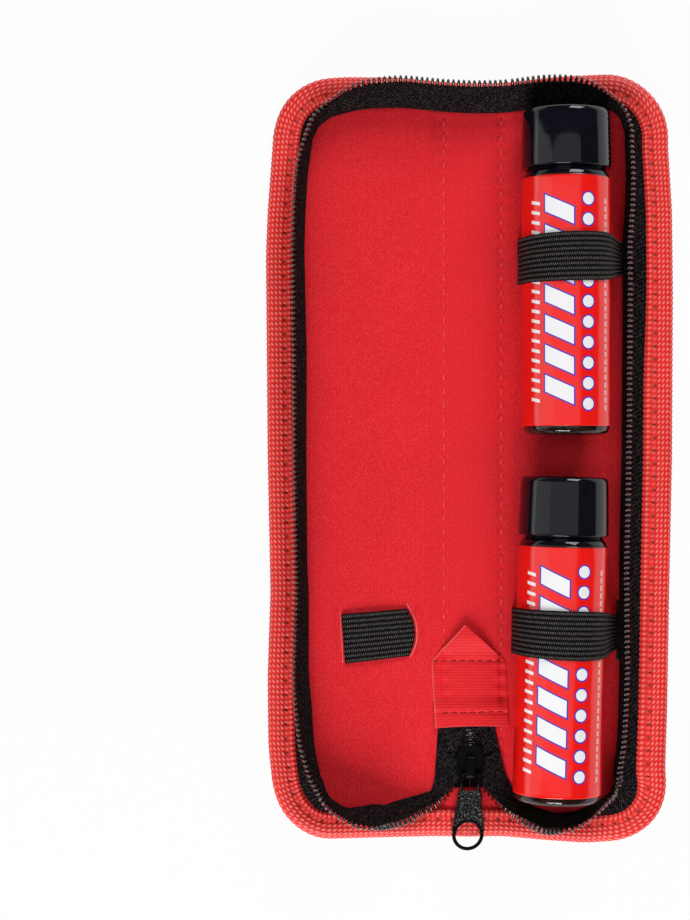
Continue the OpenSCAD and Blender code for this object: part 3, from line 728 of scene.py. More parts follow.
def binding_half(hand):
    outer = spline(binding_outer, outer_cells + 1)
    profile = np.vstack([outer, binding_inner])
    flow = np.gradient(outer, axis=0)
    flow /= np.linalg.norm(flow, axis=1)[:, None]
    gone = np.linspace(0, length_of(outer), outer_cells + 1)
    unseen = (0, len(binding_inner))
    out_in, out_up, gone = (np.pad(part, unseen) for part in (-flow[:, 1], flow[:, 0], gone))
    on_top = np.arange(len(profile)) <= outer_cells
    cells = (round(half_run / weave_pitch * pitch_cells), len(profile) - 1)

    def place(along, across):
        run = along * half_run
        row = np.rint(across * cells[1]).astype(int)
        inset, z, wind = profile[row, 0], profile[row, 1], gone[row]
        turn = (run - row_slant * wind) / weave_pitch + 0.5 * (np.floor(wind / yarn_w) % 2)
        beads = np.abs(np.sin(np.pi * wind / yarn_w)) ** 0.6 * np.abs(np.cos(np.pi * turn)) ** 0.8
        ribs = np.abs(np.cos(np.pi * run / weave_pitch)) * (0.75 + 0.25 * np.cos(5 * wind))
        selvedge = step(inset, hole_inset + 0.2, hole_inset + 0.7)
        weave = (1 - selvedge) * beads + selvedge * ribs
        groove = hump(inset, hole_inset, 0.45)
        wider = wide_selvedge * (hand > 0) * step(run, 95, 135) * (1 - step(run, 245, 258))
        inset = inset + np.maximum(inset - hole_inset, 0) * wider * (z > 2.7)
        weave = weave * (1 - 0.12 * groove)
        to_hole = ((run / hole_step[hand] + 0.5) % 1 - 0.5) * hole_step[hand]
        # The stitch holes: a small dip in the weave, and painted near-black shade in the colour.
        hole = hump(to_hole, 0, 0.4) * hump(inset, hole_inset, 0.45)
        rise = np.where(on_top[row] & (row > 0), 0.3 * (weave - 0.6) - 0.3 * hole, 0)
        x, y = edge(run, inset + rise * out_in[row], hand)[:2]
        # Painted light for the colour: the weave's height, a little lower in the groove, and a low value on
        # the hidden inner rows of the fold.
        painted_light = np.where(on_top[row], weave * (1 - 0.1 * groove), 0.2)
        points = np.stack([x, y, np.maximum(z + rise * out_up[row], 0.0)], axis=1)
        return points, {"crest": painted_light, "hole": np.where(on_top[row], hole, 0)}

    flat = (half_run, length_of(outer))
    made = cloth(f"binding_{side_of[hand]}_tape", flat, cells, place, weave_finish, seam=True)
    ends = ("binding_spine_top", "binding_spine_bottom")
    across_fold(made, hand, f"binding_{side_of[hand]}", *ends, slot="binding")
    return made


binding_right, binding_left = binding_half(1), binding_half(-1)
print("binding", [len(piece.data.polygons) for piece in (binding_right, binding_left)], "faces")

# %% [markdown]
# The zip's tape is a thin black twill. It is sewn under the binding all the way round and stands
# up as a soft wall, with the coil along its free edge. Nothing holds the free edge of an open
# case, so the wall leans: outwards at the top, inwards at the right, and hardly at all at the left.
# At the bottom each tape leaves the edge and runs in to the slider. The lean and the belly of the
# wall are given at stations, and a smooth strip is drawn through them from its seam to its free edge.

# %% Zip tape finish
def tape_twill():
    made, tree = finish_of("tape_twill", Roughness=0.85, Specular_IOR_Level=0.05)
    along, across = flat_uv(tree)
    weave = effect(tree, twill, Across=across, Along=along, Pitch=0.62)
    yarn = calc(tree, "MULTIPLY_ADD", weave, 0.45, noise(tree, place_mm(tree), 1.5, 4.0))
    colour = ramp(tree, yarn, (0.45, paint(1, 1, 1)), (0.72, paint(9, 7, 8)), (1.0, paint(64, 57, 59)))
    wire(tree, Base_Color=colour, Normal=relief(tree, yarn, 0.1))
    return made


twill_finish = tape_twill()
print("made", twill_finish.name)

# %% Lean of the tape walls
root_inset, root_z = 7.4, 3.05
lean_inset = 8.3
tape_w = 13.65
side_top = straight + bend_run
side_low = side_top + side
lean_right = [
    # way round the edge, lean of the free edge outwards, belly below it
    (0, 5.0, -2.4), (20, 5.4, -2.4), (28, 4.7, -2.6), (33, 3.4, -2.8), (37, 1.0, -2.8),
    (40, -1.5, -2.6), (45, -3.3, -2.8), (corner_one, -4.2, -3.4), (side_top, -4.1, -3.2),
    (side_top + 10, -4.1, -3.4), (side_top + 30, -5.6, -4.5), (side_low - 60, -5.8, -4.5),
    (side_low - 30, -5.1, -4.2), (side_low - 10, -5.5, -4.2), (side_low, -6.6, -4.6),
    (corner_two, -7.9, -4.8), (258, -7.9, -4.4), (262, -5.8, -3.6), (265, -2.8, -2.8),
    (268, -0.3, -2.5), (270, 1.0, -1.8), (273, 2.2, -1.4), (276, 2.8, -1.0),
]
lean_left = [
    (0, 5.0, -2.4), (20, 5.0, -2.3), (28, 4.3, -2.5), (33, 3.0, -3.0), (37, 1.0, -3.5),
    (40, -0.9, -3.6), (45, -2.0, -3.7), (corner_one, -2.3, -3.3), (55, -2.3, -3.0),
    (side_top, -1.8, -2.6), (side_top + 5, -0.5, -2.7), (side_top + 10, 0.4, -2.7),
    (side_top + 30, 0, -2.8), (side_top + 60, -0.15, -3.2), (side_low - 60, 0.2, -2.6),
    (side_low - 30, 0.25, -3.6), (side_low - 20, -0.2, -4.3), (side_low - 10, -1.3, -4.4),
    (side_low, -3.4, -4.7), (corner_two, -4.6, -4.8), (256, -3.9, -4.4), (260, -2.6, -3.6),
    (263, -0.4, -2.2), (265, 1.0, -1.4), (268, 2.3, -2.0), (274, 3.0, -3.0),
]
fork_right = [
    # sewn edge and free edge, from the wall to the slider
    ((20.0, -100.0, 3.05), (20.2, -103.7, 12.4)), ((17.0, -98.8, 3.1), (16.8, -102.4, 9.6)),
    ((13.4, -96.0, 3.15), (12.9, -100.8, 7.0)), ((11.0, -92.2, 3.0), (9.1, -98.4, 5.4)),
    ((9.8, -89.6, 2.95), (6.3, -95.8, 4.5)), ((9.2, -87.4, 2.9), (3.9, -93.0, 3.9)),
    ((8.3, -83.0, 2.85), (1.2, -86.5, 3.3)),
]
fork_left = [
    ((-21.5, -98.0, 3.05), (-21.4, -102.0, 11.0)), ((-17.6, -96.8, 3.1), (-17.6, -101.1, 9.0)),
    ((-13.4, -95.6, 3.15), (-13.4, -98.9, 7.0)), ((-10.8, -94.4, 3.0), (-9.2, -97.1, 5.4)),
    ((-10.0, -91.5, 2.95), (-6.3, -94.4, 4.5)), ((-9.4, -88.0, 2.9), (-3.75, -91.6, 3.9)),
    ((-8.3, -83.0, 2.85), (-1.2, -86.5, 3.3)),
]
print("wall leans at", len(lean_right), "places on the right and", len(lean_left), "on the left")

# %% Stations along the tape
def wall_stations(hand, first, last, gap=2.5):
    """Sewn edge, free edge and belly of the standing wall, at a station every few millimetres."""
    places, leans, bellies = np.array(lean_right if hand > 0 else lean_left).T
    run = np.arange(first, last + gap / 2, gap)
    lean, belly = np.interp(run, places, leans), np.interp(run, places, bellies)
    lean = smoothed(lean, 5) + root_inset - lean_inset
    x, y, out_x, out_y = edge(run, root_inset, hand)
    slack = np.abs(belly) * 0.5
    up = np.sqrt(np.maximum((tape_w - slack) ** 2 - lean**2, 25))
    sewn = np.stack([x, y, np.full_like(x, root_z)], axis=1)
    free = np.stack([x + lean * out_x, y + lean * out_y, root_z + up], axis=1)
    bulge = np.stack([belly * out_x, belly * out_y, np.zeros_like(x)], axis=1)
    return np.hstack([sewn, free, bulge])


def tape_line(hand):
    """The whole tape of one half as stations, from the top fold down to the slider."""
    last = (lean_right if hand > 0 else lean_left)[-1][0]
    wall = wall_stations(hand, fold_x, last)
    fork = [[*sewn, *free, 0, 0, 0] for sewn, free in (fork_right if hand > 0 else fork_left)]
    return spline(np.vstack([wall, fork]), 420)


# Times this, a belly has its full depth a third of the way up.
belly_top = 27 / 4


def ruled(line):
    """Places a flat strip between a line's sewn edge and its free edge."""
    def place(along, across):
        station = between(line, np.arange(len(line)), along * (len(line) - 1))
        sewn, free, belly = station[:, :3], station[:, 3:6], station[:, 6:]
        share = across[:, None]
        slack = belly_top * share * (1 - share) ** 2
        return sewn + (free - sewn) * share + belly * slack, {}
    return place


def tape_strip(name, line, flip):
    """A strip of zip tape along a line of stations."""
    flat = (length_of(line[:, :3]), tape_w)
    made = cloth(name, flat, (len(line) - 1, 14), ruled(line), twill_finish, thick=0.5, flip=flip)
    return made


print("tape helpers ready")

# %% Tape walls
line_right, line_left = tape_line(1), tape_line(-1)
tape_right = tape_strip("zip_tape_right_wall", line_right, flip=True)
tape_left = tape_strip("zip_tape_left_wall", line_left, flip=False)
across_fold(tape_right, 1, "zip_tape_right", "zip_bridge_right", "zip_fork_right", slot="zip_tape")
across_fold(tape_left, -1, "zip_tape_left", "zip_bridge_left", "zip_fork_left", slot="zip_tape")

top_half = [wall_stations(hand, 0, fold_x, gap=fold_x / 6) for hand in (-1, 1)]
line_top = even(np.vstack([top_half[0][::-1], top_half[1][1:]]), 40)
tape_top = tape_strip("zip_tape_spine_wall", line_top, flip=True)
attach(tape_top, "spine")
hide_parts("zip_tape_spine")
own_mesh(tape_top)
print("tapes", [round(length_of(line[:, 3:6])) for line in (line_left, line_top, line_right)], "mm")

# %% [markdown]
# A coil zip's teeth are the turns of one nylon wire, sewn along the outer face of the tape with
# their heads standing past its edge. Each turn is a long link: a ring of wire is drawn out as a
# leg, spun half round as the head, drawn back as the second leg and spun half round again. One
# link of a few dozen faces is copied at the coil's pitch along the free edge. Where the wall falls
# outwards, the weight of the coil curls the edge over, so its heads lie flatter there.

# %% Coil nylon
def coil_nylon():
    made, tree = finish_of("coil_nylon", Specular_IOR_Level=0.5, Coat_Weight=1.0, Coat_Roughness=0.05)
    scuff = noise(tree, place_mm(tree), 1.4, 2.0)
    gloss = ranged(tree, scuff, 0.12, 0.24)
    colour = ramp(tree, scuff, (0.3, paint(3, 3, 3)), (0.7, paint(9, 11, 12)))
    wire(tree, Base_Color=colour, Roughness=gloss, Normal=relief(tree, scuff, 0.03))
    return made


nylon_finish = coil_nylon()
print("made", nylon_finish.name)

# %% Coil link
wire_r, head_r, leg_in, leg_out = 0.4, 0.3, 1.0, 0.65
wire_sides, head_steps = 5, 3
link_faces = 2 * wire_sides * (1 + head_steps)


def parts_in(geometry, kind):
    """The parts of one kind among what an operator gives back."""
    return [part for part in geometry if isinstance(part, kind)]


def link(bm):
    """One turn of the coil, lying along +Y with its head at the far end."""
    ring = Matrix.Translation((0, -leg_in, head_r)) @ Matrix.Rotation(math.pi / 2, 4, "X")
    start = bmesh.ops.create_circle(bm, segments=wire_sides, radius=wire_r, matrix=ring)["verts"]
    edges = [edge_ for edge_ in bm.edges if all(vert in start for vert in edge_.verts)]
    for centre_y, way in ((leg_out, 1), (-leg_in, -1)):
        leg = bmesh.ops.extrude_edge_only(bm, edges=edges)["geom"]
        bmesh.ops.translate(bm, vec=(0, way * (leg_in + leg_out), 0), verts=parts_in(leg, BMVert))
        edges = [part for part in parts_in(leg, BMEdge) if part.is_boundary]
        head = bmesh.ops.spin(
            bm, geom=edges, cent=(0, centre_y, 0), axis=(1, 0, 0), angle=-math.pi, steps=head_steps
        )
        edges = parts_in(head["geom_last"], BMEdge)
    bmesh.ops.remove_doubles(bm, verts=bm.verts, dist=0.001)


def row_of(name, shape, places, finish):
    """Copies of one small shape at each place, as one piece."""
    bm = bmesh.new()
    shape(bm)
    bmesh.ops.recalc_face_normals(bm, faces=bm.faces)
    first = bm.verts[:] + bm.edges[:] + bm.faces[:]
    for place in places:
        copy = bmesh.ops.duplicate(bm, geom=first)["geom"]
        bmesh.ops.transform(bm, matrix=place, verts=parts_in(copy, BMVert))
    bmesh.ops.delete(bm, geom=parts_in(first, BMVert), context="VERTS")
    return solid_piece(bm, name, finish)


def set_at(spot, along, up):
    """A matrix that lays a shape's X along one direction and its Y up another, in millimetres."""
    along = Vector(along).normalized()
    out = along.cross(Vector(up)).normalized()
    turned = Matrix((along, out.cross(along), out)).transposed()
    return Matrix.Scale(MM, 4) @ Matrix.Translation(spot) @ turned.to_4x4()


print("a link has", link_faces, "faces")

# %% Coil teeth
tooth_pitch = 1.47
edge_curl = 1.6


def teeth(name, line, hand):
    """Links along a tape's free edge, on its outer face."""
    free_edge = line[:, 3:6]
    count = int(length_of(free_edge) / tooth_pitch)
    station = between(line, distances(free_edge), (np.arange(count) + 0.5) * tooth_pitch)
    ahead = np.gradient(station[:, 3:6], axis=0)
    places = []
    for spot, way in zip(station, ahead):
        sewn, free = Vector(spot[:3]), Vector(spot[3:6])
        up = (free - sewn).normalized()
        along = Vector(way) * hand
        out = along.cross(up).normalized()
        fall = (up + out * max(0, -out.z) * edge_curl).normalized()
        places.append(set_at(free + out * (head_r + leg_in * fall.dot(out)), along, fall))
    made = row_of(name, link, places, nylon_finish)
    return made


teeth_right = teeth("zip_coil_right_teeth", line_right, -1)
teeth_left = teeth("zip_coil_left_teeth", line_left, 1)
teeth_top = teeth("zip_coil_spine_teeth", line_top, -1)
across_fold(teeth_right, 1, "zip_coil_right", slot="zip_coil")
across_fold(teeth_left, -1, "zip_coil_left", slot="zip_coil")
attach(teeth_top, "spine")
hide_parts("zip_coil_spine")
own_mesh(teeth_top)
print("teeth", [len(piece.data.polygons) // link_faces for piece in (teeth_left, teeth_top, teeth_right)])

# %% [markdown]
# The zip's closed tail lies on the spine: a short piece of the same tape, with the last teeth of
# both coils meshed along its middle. It is seen from the tape's back, so only a row of small
# crests shows between the two edges of the tape.

# %% Tail of the zip
tail_top_z = box_mm("zip_tail_tape")[1].z
tail_flat = (22.6, 18.2)
tail_low_y = -93.6


def tail_place(along, across):
    y = tail_low_y + tail_flat[0] * along
    left = np.interp(y, [tail_low_y, -76.8], [-10.2, -9.1])
    right = np.interp(y, [-91.0, -76.2], [10.0, 7.1])
    x = left + (right - left) * across
    split = hump(x, 0, 0.45)
    z = tail_top_z + 0.12 - 0.5 * split + 0.25 * step(np.abs(x), 6, 10) * (1 - step(y, -88, -80))
    return np.stack([x, y, z], axis=1), {}


tail = cloth("zip_tail_cloth", tail_flat, (46, 40), tail_place, twill_finish, thick=0.5, flip=True)
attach(tail, "spine")
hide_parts("zip_tail_tape")

chain_low_y, chain_high_y, apart = -82.4, -77.0, 0.35
chain_y = np.arange(chain_low_y, chain_high_y, tooth_pitch)
chain_z, flatter = tail_top_z - 0.2, Matrix.Scale(0.5, 4, (0, 0, 1))
mesh_places = [set_at((apart, y, chain_z), (0, 1, 0), (-1, 0, 0)) for y in chain_y]
mesh_places += [set_at((-apart, y + tooth_pitch / 2, chain_z), (0, -1, 0), (1, 0, 0)) for y in chain_y]
chain = row_of("zip_tail_teeth", link, [place @ flatter for place in mesh_places], nylon_finish)
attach(chain, "spine")
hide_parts("zip_tail_chain")
print("tail", len(chain_y), "pairs of teeth")

# %% [markdown]
# A short ribbon is sewn across the tail's upper end. It is a ribbed weave with its cut end folded
# to a point, held by two rows of stitches: one across the shoulders and one near the lower edge.
# The point is free, so it stands off the lining and throws a small shadow. The grid's rows narrow
# to the point, and their height follows the lining and the tail below them.

# %% Ribbon
def ribbon_weave():
    made, tree = finish_of("ribbon_weave", Roughness=0.6, Specular_IOR_Level=0.25)
    fuzz = noise(tree, place_mm(tree), 1.8, 3.0)
    across = calc(tree, "MULTIPLY_ADD", fuzz, 0.35, flat_uv(tree)[1])
    ribs = effect(tree, yarn_rows, Across=across, Pitch=0.83)
    lit = calc(tree, "MULTIPLY_ADD", ribs, 0.4, calc(tree, "MULTIPLY", fuzz, 0.6))
    yarn = ramp(tree, lit, (0.15, paint(208, 16, 25)), (0.5, paint(228, 28, 37)), (0.95, paint(244, 48, 55)))
    rim = calc(tree, "MULTIPLY", point_value(tree, "rim"), 0.35)
    colour = mixed(tree, rim, yarn, paint(252, 150, 146))
    wire(tree, Base_Color=colour, Normal=relief(tree, lit, 0.09))
    return made


ribbon_rows = np.array([
    # height on the case, left edge, right edge
    (-76.4, -9.9, 10.8), (-72.3, -10.1, 10.7), (-66, -10.5, 10.4), (-58.2, -10.9, 10.1),
    (-57.4, -10.6, 9.6), (-52.4, -6.1, 4.2), (-47.5, -1.65, -1.35),
])
ribbon_share = [0, 0.02, 0.65, 0.68, 1]
ribbon_y = [-76.4, -76.0, -58.2, -57.4, -47.5]
shoulder_y, lower_stitch_y = -57.7, -72.3


def ribbon_place(along, across):
    y = np.interp(across, ribbon_share, ribbon_y)
    left, right = (np.interp(y, ribbon_rows[:, 0], ribbon_rows[:, k]) for k in (1, 2))
    x = left + (right - left) * along
    y = y + 0.7 * (along - 0.5) * (1 - step(across, 0, 0.5))
    y = y + 0.25 * np.sin(4 * along) * (1 - step(across, 0, 0.15))
    bed = lining_height(x, y) + 0.45
    over = 1 - step(y, -71.5, -67.0)
    z = bed + (tail_top_z + 0.85 - bed) * over
    free = step(y, shoulder_y + 0.6, -50)
    z = z + 1.9 * free - 0.3 * hump(y, shoulder_y, 0.5) - 0.28 * hump(y, lower_stitch_y, 0.5)
    rim = np.maximum(hump(x - left, 0, 0.3), 0.6 * hump(across, 0, 0.01))
    return np.stack([x, y, z], axis=1), {"rim": rim}


ribbon_flat = (20.8, 29.0)
ribbon = cloth("ribbon_cloth", ribbon_flat, (46, 90), ribbon_place, ribbon_weave(), thick=0.45)
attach(ribbon, "spine")
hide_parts("ribbon_patch")
print("ribbon", len(ribbon.data.polygons), "faces")

# %% [markdown]
# Thread is laid as one small capsule per stitch. Two rows run down the spine in the lining, one
# row follows the groove of the binding on both of its faces, and two short rows hold the ribbon.

# %% Thread
def thread_finish(name, light, dark):
    made, tree = finish_of(name, Roughness=0.5, Specular_IOR_Level=0.45)
    twist = noise(tree, place_mm(tree), 3.0, 2.0)
    wire(tree, Base_Color=ramp(tree, twist, (0.3, dark), (0.7, light)), Normal=relief(tree, twist, 0.08))
    return made


spine_thread = thread_finish("spine_thread", paint(244, 84, 66), paint(214, 44, 40))
edge_thread = thread_finish("edge_thread", paint(238, 62, 54), paint(204, 30, 26))
ribbon_thread = thread_finish("ribbon_thread", paint(176, 16, 22), paint(128, 8, 14))


def capsule(long, thick):
    """One stitch lying along X."""
    def shape(bm):
        bmesh.ops.create_uvsphere(bm, u_segments=6, v_segments=5, radius=1)
        bmesh.ops.scale(bm, vec=(long / 2, thick / 2, thick / 2), verts=bm.verts)
    return shape


print("threads", [thread_and_painted_glint.name for thread_and_painted_glint in (spine_thread, edge_thread, ribbon_thread)])

# %% Stitches
row_end = 11
thread_z, thread_rise = (3.45, 0.62), 0.12
ribbon_half = 10.5


def spine_row(hand):
    x = stitch_lines[hand]
    ys = np.arange(-half_l + row_end, half_l - row_end, stitch_step) + 0.4
    zs = [float(lining_height(x, y)) + thread_rise for y in ys]
    places = [set_at((x, y, z), (0.06, 1, 0), (0, 0, 1)) for y, z in zip(ys, zs)]
    stitch = capsule(long=3.0, thick=0.5)
    made = row_of(f"spine_stitches_{side_of[hand]}", stitch, places, spine_thread)
    across_fold(made, hand, slot="lining")
    return made


def edge_row(hand):
    run = np.arange(hole_step[hand] / 2, half_run, hole_step[hand])
    places = []
    for x, y, out_x, out_y in np.stack(edge(run, hole_inset, hand), axis=1):
        places += [set_at((x, y, z), (out_y, -out_x, 0), (0, 0, 1)) for z in thread_z]
    stitch = capsule(long=2.7, thick=0.36)
    made = row_of(f"edge_stitches_{side_of[hand]}", stitch, places, edge_thread)
    across_fold(made, hand, slot="binding")
    return made


def ribbon_row(name, y, first, last):
    xs = np.arange(first, last, 2.6)
    across = np.interp(y, ribbon_y[1:4], ribbon_share[1:4])
    spots = ribbon_place((xs + ribbon_half) / (2 * ribbon_half), np.full_like(xs, across))[0]
    places = [set_at(spot + (0, 0, thread_rise), (1, 0.12, 0), (0, 0, 1)) for spot in spots]
    made = row_of(name, capsule(long=1.9, thick=0.32), places, ribbon_thread)
    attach(made, "spine")
    return made


rows = [spine_row(1), spine_row(-1), edge_row(1), edge_row(-1)]
rows.append(ribbon_row("ribbon_stitches_upper", shoulder_y, -9.6, 9.8))
rows.append(ribbon_row("ribbon_stitches_lower", lower_stitch_y, -7.4, 10.0))
print("stitches", [row.name for row in rows])

# %% [markdown]
# Wide black elastic holds the bottles. It is woven with about ten cords of rubber along it, so it
# has rounded ribs, and grey glints of threads on the rib tops are painted into the colour as
# highlights. A loop comes up out of a slit on the left of the bottle, goes over it and runs down
# to a second slit on the right, where it is gathered and so becomes narrower. The path is a
# vertical line, an arc and a tangent line.

# %% Elastic weave
def elastic_weave():
    made, tree = finish_of("elastic_weave", Roughness=0.7, Specular_IOR_Level=0.1)
    along, across = flat_uv(tree)
    crest = point_value(tree, "crest")
    fuzz = noise(tree, place_mm(tree), 1.5, 3.0)
    slant = calc(tree, "MULTIPLY_ADD", across, 0.35, along)
    turns = effect(tree, yarn_rows, Across=slant, Pitch=0.62)
    # Painted highlight: grey glints of threads on the rib tops, put in the colour; the same pattern also
    # gives the relief.
    thread_and_painted_glint = calc(tree, "MULTIPLY", calc(tree, "MULTIPLY", crest, crest), turns)
    lit = calc(tree, "MULTIPLY_ADD", thread_and_painted_glint, 0.6, calc(tree, "MULTIPLY", fuzz, 0.5))
    colour = ramp(tree, lit, (0.15, paint(3, 2, 2)), (0.45, paint(14, 12, 12)), (0.95, paint(118, 112, 110)))
    wire(tree, Base_Color=colour, Normal=relief(tree, calc(tree, "ADD", thread_and_painted_glint, fuzz), 0.1))
    return made


elastic_finish = elastic_weave()
print("made", elastic_finish.name)

# %% Elastic loops
cap_low, cap_high = box_mm("upper_cap")
bottle_r, bottle_z = (cap_high.x - cap_low.x) / 2, (cap_high.z + cap_low.z) / 2
ribs = 10
loop_w, drawn_w = 13.6, 13.1
loop_cells = (120, 60)
loop_gap = 0.85
slit_z = 2.1


def ribbed(across):
    """Height of the ribs over the width of an elastic, 0 to 1."""
    return np.abs(np.sin(np.pi * ribs * across)) ** 0.7


def loop(name, at, slit_x, tilt, drift, gather, node, bottle):
    reach = bottle_r + loop_gap
    far = math.hypot(slit_x, bottle_z - slit_z)
    leave = math.atan2(slit_z - bottle_z, slit_x) + math.acos(reach / far)
    turn = np.linspace(math.pi, leave, 40)
    arc = np.stack([reach * np.cos(turn), bottle_z + reach * np.sin(turn)], axis=1)
    path = even(np.vstack([[[0.6 - reach, slit_z]], arc, [[slit_x, slit_z]]]), loop_cells[0] + 1)
    way = np.gradient(path, axis=0)
    way /= np.linalg.norm(way, axis=1)[:, None]

    def place(along, across):
        k = np.rint(along * loop_cells[0]).astype(int)
        rib = ribbed(across)
        rise = 0.3 * rib - 0.3
        width = drawn_w * (1 - gather * step(along, 0.62, 1.0)) * (1 - 0.03 * np.sin(9 * along))
        x = path[k, 0] - way[k, 1] * rise
        z = path[k, 1] + way[k, 0] * rise
        y = (across - 0.5) * width + drift * (np.maximum(along, 0.25) - 0.45)
        y = y + 0.02 * at.y * (1 - step(along, 0, 0.25))
        turned_x = at.x + x * math.cos(tilt) - y * math.sin(tilt)
        turned_y = at.y + x * math.sin(tilt) + y * math.cos(tilt)
        return np.stack([turned_x, turned_y, z], axis=1), {"crest": rib}

    flat = (length_of(path), loop_w)
    made = cloth(name, flat, loop_cells, place, elastic_finish, thick=0.4)
    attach(made, "base")
    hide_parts(node)
    return made


loop_upper = loop("loop_upper_elastic", upper_at, slit_x=18.8, tilt=0, drift=2.2, gather=0.32,
                  node="loop_upper", bottle="upper_sleeve")
loop_lower = loop("loop_lower_elastic", lower_at + Vector((0, -0.5)), slit_x=18.2, tilt=lower_tilt,
                  drift=-1.2, gather=0.22, node="loop_lower", bottle="lower_sleeve")
print("loops", loop_upper.name, loop_lower.name)

# %% Spare loop
spare_l = 21
spare_bed = lining_height(-25.8, -50) + 0.75


def spare_place(along, across):
    left_x, left_y = -35.9 - 1.1 * across, -58.4 + 14.0 * across
    right_x = -16.7 - 0.8 * across + 1.9 * np.sin(np.pi * across)
    right_y = -56.1 + 13.4 * across
    x = left_x + (right_x - left_x) * along
    y = left_y + (right_y - left_y) * along
    rib = ribbed(across)
    dive = step(np.abs(along - 0.5), 0.455, 0.5)
    z = spare_bed + 0.45 * np.sin(np.pi * along) + 0.28 * rib - 1.9 * dive
    return np.stack([x, y, z], axis=1), {"crest": rib}


spare = cloth("loop_spare_elastic", (spare_l, loop_w), (60, 60), spare_place, elastic_finish, thick=0.4)
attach(spare, "cover")
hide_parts("loop_spare")
print("spare loop", spare_l, "mm long")

# %% [markdown]
# Strands are needed for the cut edges of the slits, for near-black strands of painted shade in
# the two slits beside the bottles, and later for the slider and the pull: a rounded section
# carried along a path, with a chosen half width and half thickness.

# %% Strands, the cut edges of the slits and their painted shade
def strand(name, path, wide, thick, finish, side=(1, 0, 0), rounds=10, square=0.7):
    """A rounded bar along a path of points. Its width lies along side where the path allows it."""
    path = np.array(path, float)
    way = np.gradient(path, axis=0)
    way /= np.linalg.norm(way, axis=1)[:, None]
    if np.allclose(path[0], path[-1]):
        way[0] = way[-1] = (way[0] + way[-1]) / np.linalg.norm(way[0] + way[-1])
    flank = np.array(side, float) - (way @ np.array(side, float))[:, None] * way
    flank /= np.linalg.norm(flank, axis=1)[:, None]
    top = np.cross(way, flank)

    def place(along, across):
        k = np.rint(along * (len(path) - 1)).astype(int)
        c, s = np.cos(2 * np.pi * across), np.sin(2 * np.pi * across)
        c, s = np.sign(c) * np.abs(c) ** square, np.sign(s) * np.abs(s) ** square
        return path[k] + flank[k] * (wide * c)[:, None] + top[k] * (thick * s)[:, None], {}

    return cloth(name, (length_of(path), 1), (len(path) - 1, rounds), place, finish, seam=True)


def slit_edge(name, points, finish, body, wide, lift=0.0):
    """A strand that lies along one side of a slit in the lining."""
    line = spline(points, 24)
    z = lining_height(line[:, 0], line[:, 1]) + lift
    made = strand(name, np.column_stack([line, z]), wide, 0.2, finish, side=(1, 0, 0.01))
    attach(made, body)


pale_edge = thread_finish("pale_edge", paint(252, 124, 124), paint(236, 62, 66))
# Painted shade: near-black strands in the two slits beside the bottles, where the elastic goes under the
# lining.
slit_shade = thread_finish("slit_shade", paint(34, 8, 9), paint(14, 4, 4))
slit_edge("slit_edge_spare_right", [(-18.0, -41.2), (-15.5, -46.4), (-15.2, -52.0), (-16.8, -56.4)],
          pale_edge, "cover", wide=0.22)
slit_edge("slit_edge_spare_left", [(-37.0, -43.2), (-36.6, -50), (-36.1, -59.0)],
          pale_edge, "cover", wide=0.25, lift=-0.2)
slit_edge("slit_gap_upper", [(44.2, 46.5), (44.4, 54), (44.3, 63.0)], slit_shade, "base", wide=0.5)
slit_edge("slit_gap_lower", [(41.9, -57.5), (42.2, -48), (42.0, -40.5)], slit_shade, "base", wide=0.5)
print("slit edges laid")

# %% [markdown]
# The slider is a small die casting with black enamel: an upper plate, a lower plate and two
# flanges that hold the coils, with a crown on top for the pull. Each plate is a circle pushed to
# the slider's plan, extruded and bevelled. The crown is a flat bar bent over the pull's bar.

# %% Enamel
def enamel(name, dents, shine):
    made, tree = finish_of(name, Specular_IOR_Level=shine)
    spot = place_mm(tree)
    casting = {"Vector": spot, "Scale": 1.5}
    pits = add(tree, "ShaderNodeTexVoronoi", casting, feature="SMOOTH_F1").outputs["Distance"]
    fuzz = noise(tree, spot, 2.0, 2.0)
    rough = ranged(tree, fuzz, 0.22, 0.42)
    colour = ramp(tree, fuzz, (0.3, paint(3, 2, 3)), (0.7, paint(8, 7, 8)))
    height = calc(tree, "MULTIPLY_ADD", pits, dents, calc(tree, "MULTIPLY", fuzz, 0.15))
    wire(tree, Base_Color=colour, Roughness=rough, Normal=relief(tree, height, 0.5))
    return made


slider_enamel = enamel("slider_enamel", dents=0.05, shine=0.08)
print("made", slider_enamel.name)

# %% Slider
body_low, body_high = box_mm("slider_body")
slider_low, slider_high = body_low.y, body_high.y
slider_r = (body_high.x - body_low.x) / 2
slider_mid = slider_low + slider_r


def slider_plate(name, low_z, high_z, trim):
    bm = bmesh.new()
    bmesh.ops.create_circle(bm, segments=48, radius=1, cap_ends=True)
    for vert in bm.verts:
        c, s = vert.co.x, vert.co.y
        if s > 0:
            c, s = math.copysign(abs(c) ** 0.4, c) * (1 - 0.13 * s), s**0.4
            vert.co = (c * (slider_r - trim), slider_mid + s * (slider_high - slider_mid - trim), low_z)
        else:
            vert.co = (c * (slider_r - trim), slider_mid + s * (slider_r - trim), low_z)
    raised = bmesh.ops.extrude_face_region(bm, geom=bm.faces[:])["geom"]
    bmesh.ops.translate(bm, vec=(0, 0, high_z - low_z), verts=parts_in(raised, BMVert))
    bmesh.ops.recalc_face_normals(bm, faces=bm.faces)
    rims = [edge_ for edge_ in bm.edges if edge_.calc_face_angle(0) > 1]
    bmesh.ops.bevel(bm, geom=rims, offset=0.24, segments=3, profile=0.5, affect="EDGES", material=-1)
    bmesh.ops.scale(bm, vec=(MM, MM, MM), verts=bm.verts)
    return solid_piece(bm, name, slider_enamel)


